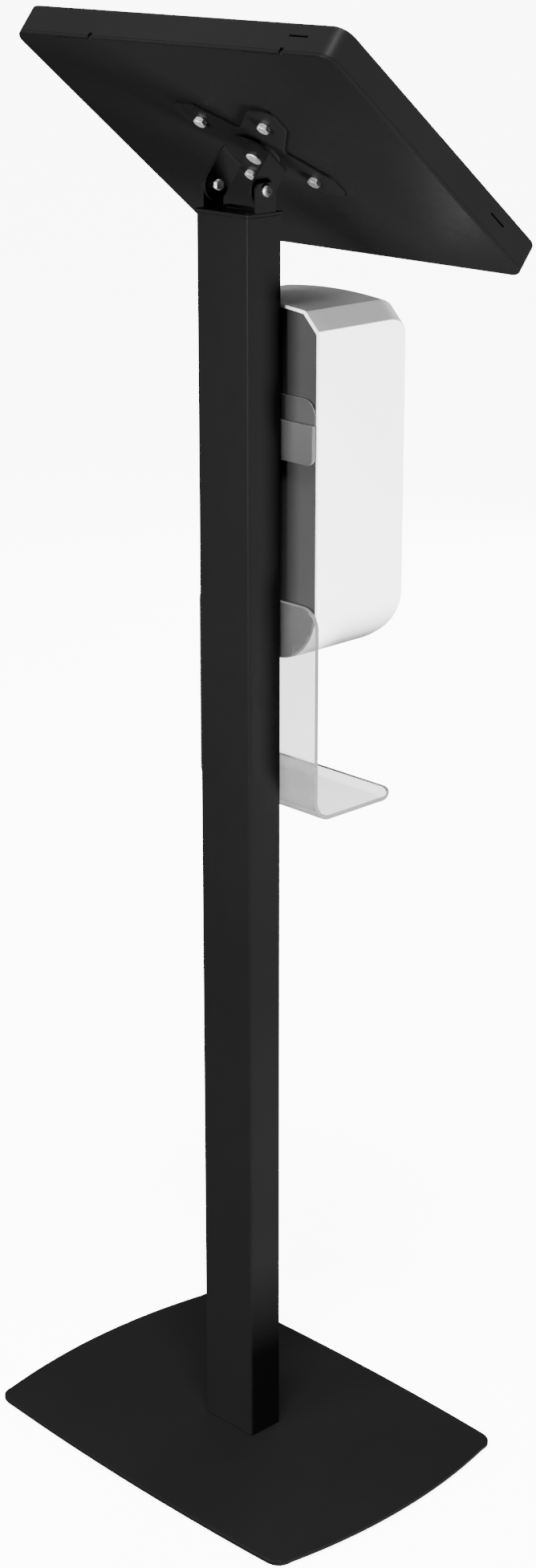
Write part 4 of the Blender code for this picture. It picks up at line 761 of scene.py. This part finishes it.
acrylic = acrylic_finish("clear_acrylic", dark=0.3, light=0.33, haze=(0.02, 0.09), clear=0.86)
acrylic_edge = acrylic_finish("acrylic_cut_edge", dark=0.1, light=0.13, haze=(0.15, 0.3), clear=0.05)
tray = open_sheet("drip_tray_acrylic", tray_grid(), TRAY_SHEET, TRAY_EASE, acrylic, acrylic_edge)
seated(tray, None, "stand", "clear_sheet", "drip_tray")
for number in (1, 2):
    low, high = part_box(f"tray_screw_{number}")
    screw_z = (low[2] + high[2]) / 2
    into_post = Matrix.Translation((0.0, 0.0, screw_z)) @ Matrix.Rotation(math.pi / 2, 4, "X")
    rows = button_screw_rows(into_post, face=-low[1] - SCREW_HEAD_HIGH, head=3.8 * MM,
                             head_high=SCREW_HEAD_HIGH, shank=2.0 * MM, tip=-high[1], socket=1.2 * MM)
    screw = skin(f"tray_button_screw_{number}", rows)
    seated(screw, zinc, "stand", "zinc_plate", f"tray_screw_{number}")

# Dispenser back and hinge pin. A dark grey moulded panel sits inside the cover's rim and hangs on the
# hanger plate; its lower lugs carry the steel pin of the cover's hinge.

dark_moulding = grained_finish("dark_moulding", dark=(0.02, 0.02, 0.0205), light=(0.027, 0.027, 0.0275),
                               rough=(0.45, 0.6), skin=1600.0, skin_strength=0.25, sheen=0.1)
panel = eased_copy("dispenser_back", "dispenser_back_panel", width=0.4 * MM)
seated(panel, dark_moulding, "stand", "grey_moulding", "dispenser_back")
refinished(zinc, "cover_hinge_pin")

# Dispenser cover. A white moulded shell with a crowned top, broad chamfers at the shoulders, round lower
# corners and a bowed front; a hole under it for the nozzle and a dark window for the hand sensor.
# It drops forward on its lower hinge for refilling.

COVER_LOW = 768.3 * MM
COVER_HIGH = 1076.3 * MM
COVER_HALF = 70.5 * MM
COVER_REAR = -23.65 * MM
COVER_REACH = 112.0 * MM
COVER_WALL = 2.5 * MM
CHAMFER = 15.5 * MM
SHOULDER_DROP = 3.0 * MM
CROWN_RISE = 2.7 * MM
CROWN_SHARE = 0.86
CROWN_GIVE = 0.4
FOOT_ROUND = 50.0 * MM
NOSE_ROUND = 26.0 * MM
SIDE_ROUND = 12.0 * MM
REAR_SOFT = 1.5 * MM
NOSE_SOFT = 20.0 * MM
NOSE_POWER = 8
BULGE = 5.0 * MM
NOSE_POLE = 0.03
COVER_SHARP = 35.0
TOOL_UNDER = 5.0 * MM
TOOL_HIGH = COVER_LOW + 8.0 * MM
NOZZLE_HOLE = 10.0 * MM
SENSOR_HALF_X = 8.3 * MM
SENSOR_HALF_Y = 4.8 * MM
SENSOR_ROUND = 3.3 * MM
RELIEF_HALF_X = 43.0 * MM
RELIEF_HALF_Y = 6.0 * MM
RELIEF_ROUND = 0.5 * MM
RELIEF_Y = COVER_REAR - 3.4 * MM
RELIEF_HIGH = COVER_LOW + 6.5 * MM


def cover_section(side, ends, soft):
    """The cover's outline seen from behind, drawn in by side at the sides and by ends at top and foot:
    seven corners as arcs, the wide one at the top being its crown, and soft the radius of the chamfers'
    corners."""
    half = COVER_HALF - side
    top = COVER_HIGH - ends
    bottom = COVER_LOW + ends
    shoulder = top - SHOULDER_DROP
    inner = half - CHAMFER
    foot = FOOT_ROUND - max(side, ends)
    corners = ((half, bottom), (half, shoulder - CHAMFER), (inner, shoulder), (0.0, top + CROWN_RISE),
               (-inner, shoulder), (-half, shoulder - CHAMFER), (-half, bottom))
    crown_slope = (SHOULDER_DROP + CROWN_RISE) / inner
    crown = (CROWN_SHARE * inner - CROWN_GIVE * soft) / crown_slope
    return rounded_loop(corners, (foot, soft, soft, crown, soft, soft, foot), steps=16)


def shell_side(inset):
    """Rows from the rim to the nose: straight, then round to the front, by a quarter circle at top and foot
    and by a smaller one that starts nearer the front at the sides, then inwards over a bulge that grows with
    one minus the square of the distance from the middle."""
    front = NOSE_ROUND - inset
    edge = SIDE_ROUND - inset
    turn = np.linspace(0.0, math.pi / 2, 20)
    forward = front * np.sin(turn)
    past = np.maximum(forward - front + edge, 0.0)
    depth = np.concatenate(((COVER_REAR,), COVER_REAR - COVER_REACH + NOSE_ROUND - forward))
    sides = np.concatenate(((inset,), inset + edge - np.sqrt(np.maximum(edge ** 2 - past ** 2, 0.0))))
    ends = np.concatenate(((inset,), inset + front * (1 - np.cos(turn))))
    soft = np.concatenate(((REAR_SOFT,), REAR_SOFT + NOSE_SOFT * np.sin(turn) ** NOSE_POWER))
    loops = [cover_section(*shape) for shape in zip(sides, ends, soft)]
    rows = np.stack([np.column_stack((loop[:, 0], np.full(len(loop), y), loop[:, 1]))
                     for y, loop in zip(depth, loops)])
    share = np.linspace(1.0, NOSE_POLE, 14)[1:]
    middle = np.array((0.0, 0.0, (COVER_HIGH + COVER_LOW) / 2))
    flat = (rows[-1] - middle)[None] * share[:, None, None] + middle
    flat[:, :, 1] = rows[-1][None, :, 1] - BULGE * (1 - share[:, None] ** 2)
    return np.concatenate((rows, flat))


def pierced(piece, *tools):
    """Cuts the tools out of the piece, then deletes them."""
    for tool in tools:
        cut = piece.modifiers.new("cut", "BOOLEAN")
        cut.operation = "DIFFERENCE"
        cut.solver = "EXACT"
        cut.object = tool
    settled(piece)
    tidied(piece.data, COVER_SHARP, recalculate=False)
    for tool in tools:
        bpy.data.objects.remove(tool, do_unlink=True)
    return piece


def upright_tool(name, loop, high):
    """A cutter from under the cover's floor up to a height, with one outline all the way."""
    return skin(name, np.stack((lifted(loop, COVER_LOW - TOOL_UNDER), lifted(loop, high))))


white_moulding = grained_finish("white_moulding", dark=(0.84, 0.84, 0.84), light=(0.88, 0.88, 0.875),
                                rough=(0.3, 0.4), cloud=4.0, skin=2600.0, skin_strength=0.06,
                                skin_depth=0.0001)
nozzle_low, nozzle_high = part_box("nozzle")
sensor_low, sensor_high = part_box("sensor_window")
nozzle_y = (nozzle_low[1] + nozzle_high[1]) / 2
sensor_y = (sensor_low[1] + sensor_high[1]) / 2
ring = around(1, steps=48)[0]
nozzle_loop = np.column_stack((NOZZLE_HOLE * np.cos(ring), nozzle_y + NOZZLE_HOLE * np.sin(ring)))
sensor_loop = rectangle(SENSOR_HALF_X, SENSOR_HALF_Y, SENSOR_ROUND, steps=8, cy=sensor_y)
relief_loop = rectangle(RELIEF_HALF_X, RELIEF_HALF_Y, RELIEF_ROUND, steps=4, cy=RELIEF_Y)
shell = skin("dispenser_cover_shell", np.concatenate((shell_side(COVER_WALL)[::-1], shell_side(0.0))))
pierced(shell, upright_tool("nozzle_tool", nozzle_loop, TOOL_HIGH),
        upright_tool("sensor_tool", sensor_loop, TOOL_HIGH),
        upright_tool("relief_tool", relief_loop, RELIEF_HIGH))
seated(flat_lit(shell), white_moulding, "dispenser_lid", "white_moulding", "dispenser_cover")
lens = grained_finish("sensor_lens", dark=(0.012, 0.003, 0.004), light=(0.02, 0.006, 0.007),
                      rough=(0.05, 0.12), skin_strength=0.02)
refinished(lens, "sensor_window")

# Cover hinge lugs. Two white moulded eyes that stand on the cover's floor, of one piece with it, and turn
# on the steel pin; their lower back is cut away so that they clear the panel when the cover drops open.

HINGE_Y = -33.05 * MM
HINGE_Z = 774.5 * MM
LUG_X = 16.0 * MM
LUG_HALF = 2.0 * MM
LUG_EYE = 3.4 * MM
LUG_FOOT = 4.4 * MM
LUG_CUT = 0.1 * MM
LUG_EASE = 0.3 * MM
lug_corners = ((-LUG_EYE, -LUG_FOOT), (LUG_CUT, -LUG_FOOT), (LUG_CUT, -LUG_EYE), (LUG_EYE, -LUG_EYE),
               (LUG_EYE, LUG_EYE), (-LUG_EYE, LUG_EYE))
lug_radii = np.array((0.3, 0.3, 0.04, 3.25, 3.3, 3.3)) * MM
lug_loop = rounded_loop(lug_corners, lug_radii, steps=8)
for side, hand in ((1, "left"), (-1, "right")):
    flat = eased_plate(lug_loop, side * LUG_X - LUG_HALF, side * LUG_X + LUG_HALF, LUG_EASE)
    lug_rows = np.stack((flat[:, :, 2], flat[:, :, 0] + HINGE_Y, flat[:, :, 1] + HINGE_Z), axis=2)
    seated(skin(f"cover_lug_{hand}", lug_rows), white_moulding, "dispenser_lid", "white_moulding")

# Pump, battery box and nozzle. Dark moulded cases fixed to the back panel, with a round moulded nozzle that
# points down through the hole in the cover's floor.

pump = eased_copy("pump_unit", "pump_unit_case", width=0.5 * MM)
seated(pump, dark_moulding, "stand", "grey_moulding", "pump_unit")
battery_box = eased_copy("battery_box", "battery_box_case", width=0.5 * MM)
seated(battery_box, dark_moulding, "stand", "grey_moulding", "battery_box")
nozzle = eased_copy("nozzle", "nozzle_turned", width=0.4 * MM)
seated(nozzle, dark_moulding, "stand", "grey_moulding", "nozzle")

# Reservoir and its cap. A milky blow-moulded bottle that stands above the pump, filled through a neck with
# a ribbed cap of white moulding screwed on it.

RIBS = 36
RIB_HIGH = 0.4 * MM
RIB_STEPS = 216
cap_low, cap_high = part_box("reservoir_cap")


def bottle_finish():
    """Translucent moulding with soft clouding."""
    made, tree, shader = new_finish("milky_bottle")
    cloud = grain(tree, 20.0, detail=3.0)
    tinted(tree, cloud, dark=(0.72, 0.74, 0.74), light=(0.84, 0.86, 0.86),
           target=shader.inputs["Base Color"])
    patches = grain(tree, 70.0, detail=3.0)
    ranged(tree, patches, low=0.25, high=0.4, target=shader.inputs["Roughness"])
    shader.inputs["Transmission Weight"].default_value = 0.5
    return made


def ribbed_cap_rows():
    """A cap whose side radius swells and sinks once for each rib; plain at its top and inside."""
    r = np.array((16.3, 16.3, 19.2, 19.6, 19.6, 18.8, 15.0, 0.3)) * MM
    under_top = np.array((1.4, 0.2, 0.0, 0.0)) * MM
    h = np.concatenate(((cap_high[2] - 2.5 * MM, cap_low[2], cap_low[2], cap_low[2] + 0.6 * MM),
                        cap_high[2] - under_top))
    rib = np.array((0.0, 0.0, 1.0, 1.0, 1.0, 0.0, 0.0, 0.0)) * RIB_HIGH
    angle = around(len(r), steps=RIB_STEPS)
    radius = r[:, None] + rib[:, None] * np.cos(RIBS * angle)
    on_neck = Matrix.Translation((0.0, (cap_low[1] + cap_high[1]) / 2, 0.0))
    return turned_rows(radius, h[:, None], angle, on_neck)


bottle = eased_copy("reservoir", "reservoir_bottle", width=0.6 * MM)
seated(bottle, bottle_finish(), "stand", "milky_bottle", "reservoir")
bottle_cap = skin("reservoir_ribbed_cap", ribbed_cap_rows())
seated(bottle_cap, white_moulding, "stand", "white_moulding", "reservoir_cap")

# Studio. A wide pale floor that glows for the camera, also through the clear sheet, but casts no light or
# shadow; four soft panels, the strongest on the kiosk's right and under the floor, so that the cover's side
# is bright; a small board that shades the cover's foot; and a camera behind the kiosk, on its right.

FLOOR_HALF = 40.0
FLOOR_GLOW = 9.0
HALF_BOUNCE = 0.5
WHITE = (1.0, 1.0, 1.0, 1.0)
floor_mesh = bpy.data.meshes.new("studio_floor")
floor_mesh.from_pydata([(-FLOOR_HALF, -FLOOR_HALF, 0.0), (FLOOR_HALF, -FLOOR_HALF, 0.0),
                        (FLOOR_HALF, FLOOR_HALF, 0.0), (-FLOOR_HALF, FLOOR_HALF, 0.0)], [], [(0, 1, 2, 3)])
floor = placed("studio_floor", floor_mesh)
floor.visible_diffuse = False
floor.visible_glossy = False
floor.visible_shadow = False
pale_floor = grained_finish("pale_floor", dark=(0.93, 0.93, 0.93), light=(0.95, 0.95, 0.95),
                            rough=(0.7, 0.8), cloud=0.6, patch=3.0, skin_strength=0.0)
floor_tree = pale_floor.node_tree
path = floor_tree.nodes.new("ShaderNodeLightPath")
bounces = worked(floor_tree, "ADD", path.outputs["Diffuse Depth"], path.outputs["Glossy Depth"])
unbounced = worked(floor_tree, "LESS_THAN", bounces, HALF_BOUNCE)
floor_shader = floor_tree.nodes["Principled BSDF"]
floor_shader.inputs["Emission Color"].default_value = WHITE
floor_tree.links.new(worked(floor_tree, "MULTIPLY", unbounced, FLOOR_GLOW),
                     floor_shader.inputs["Emission Strength"])
floor_mesh.materials.append(pale_floor)

FLAG_X = -165.0 * MM
FLAG_FRONT = -300.0 * MM
FLAG_REAR = -85.0 * MM
FLAG_LOW = 640.0 * MM
FLAG_HIGH = 705.0 * MM
flag_mesh = bpy.data.meshes.new("light_flag")
flag_mesh.from_pydata([(FLAG_X, FLAG_FRONT, FLAG_LOW), (FLAG_X, FLAG_REAR, FLAG_LOW),
                       (FLAG_X, FLAG_REAR, FLAG_HIGH), (FLAG_X, FLAG_FRONT, FLAG_HIGH)],
                      [], [(0, 1, 2, 3)])
flag = placed("light_flag", flag_mesh)
flag.visible_camera = False
flag.visible_diffuse = False
flag.visible_glossy = False
flag.visible_transmission = False

AIR_GLOW = 0.15
world = bpy.data.worlds.new("studio_air")
bpy.context.scene.world = world
world.use_nodes = True
air = world.node_tree.nodes["Background"]
air.inputs["Color"].default_value = WHITE
air.inputs["Strength"].default_value = AIR_GLOW


def facing(direction):
    """The turn of a light or a camera that looks along a direction."""
    return Vector(direction).to_track_quat("-Z", "Y").to_euler()


def light_panel(name, place, aim, size, power, seen_in_gloss):
    """A square soft light that faces a point, with or without an image of itself in glossy faces."""
    lamp = bpy.data.lights.new(name, "AREA")
    lamp.size = size
    lamp.energy = power
    made = placed(name, lamp)
    made.location = place
    made.rotation_euler = facing(Vector(aim) - Vector(place))
    made.visible_glossy = seen_in_gloss


light_panel("side_panel", place=(-5.6, -2.4, -4.0), aim=(0.0, 0.0, 0.9), size=2.5, power=4600.0,
            seen_in_gloss=False)
light_panel("rear_panel", place=(0.4, 3.4, 1.0), aim=(0.0, 0.0, 0.9), size=1.6, power=430.0,
            seen_in_gloss=True)
light_panel("top_panel", place=(-0.8, 0.8, 4.0), aim=(0.0, 0.0, 0.5), size=1.0, power=500.0,
            seen_in_gloss=True)
light_panel("front_panel", place=(1.2, -3.2, 1.5), aim=(0.0, 0.0, 1.0), size=2.2, power=140.0,
            seen_in_gloss=False)

CAMERA_PLACE = (-1.6488, 1.5680, 1.4512)
YAW = math.radians(45.83)
PITCH = math.radians(-19.36)
photo_camera = bpy.data.cameras.new("photo_camera")
photo_camera.lens = 62.61
photo_camera.sensor_width = 36.0
camera = placed("photo_camera", photo_camera)
camera.location = CAMERA_PLACE
camera.rotation_euler = facing((math.sin(YAW) * math.cos(PITCH), -math.cos(YAW) * math.cos(PITCH),
                                math.sin(PITCH)))
bpy.context.scene.camera = camera
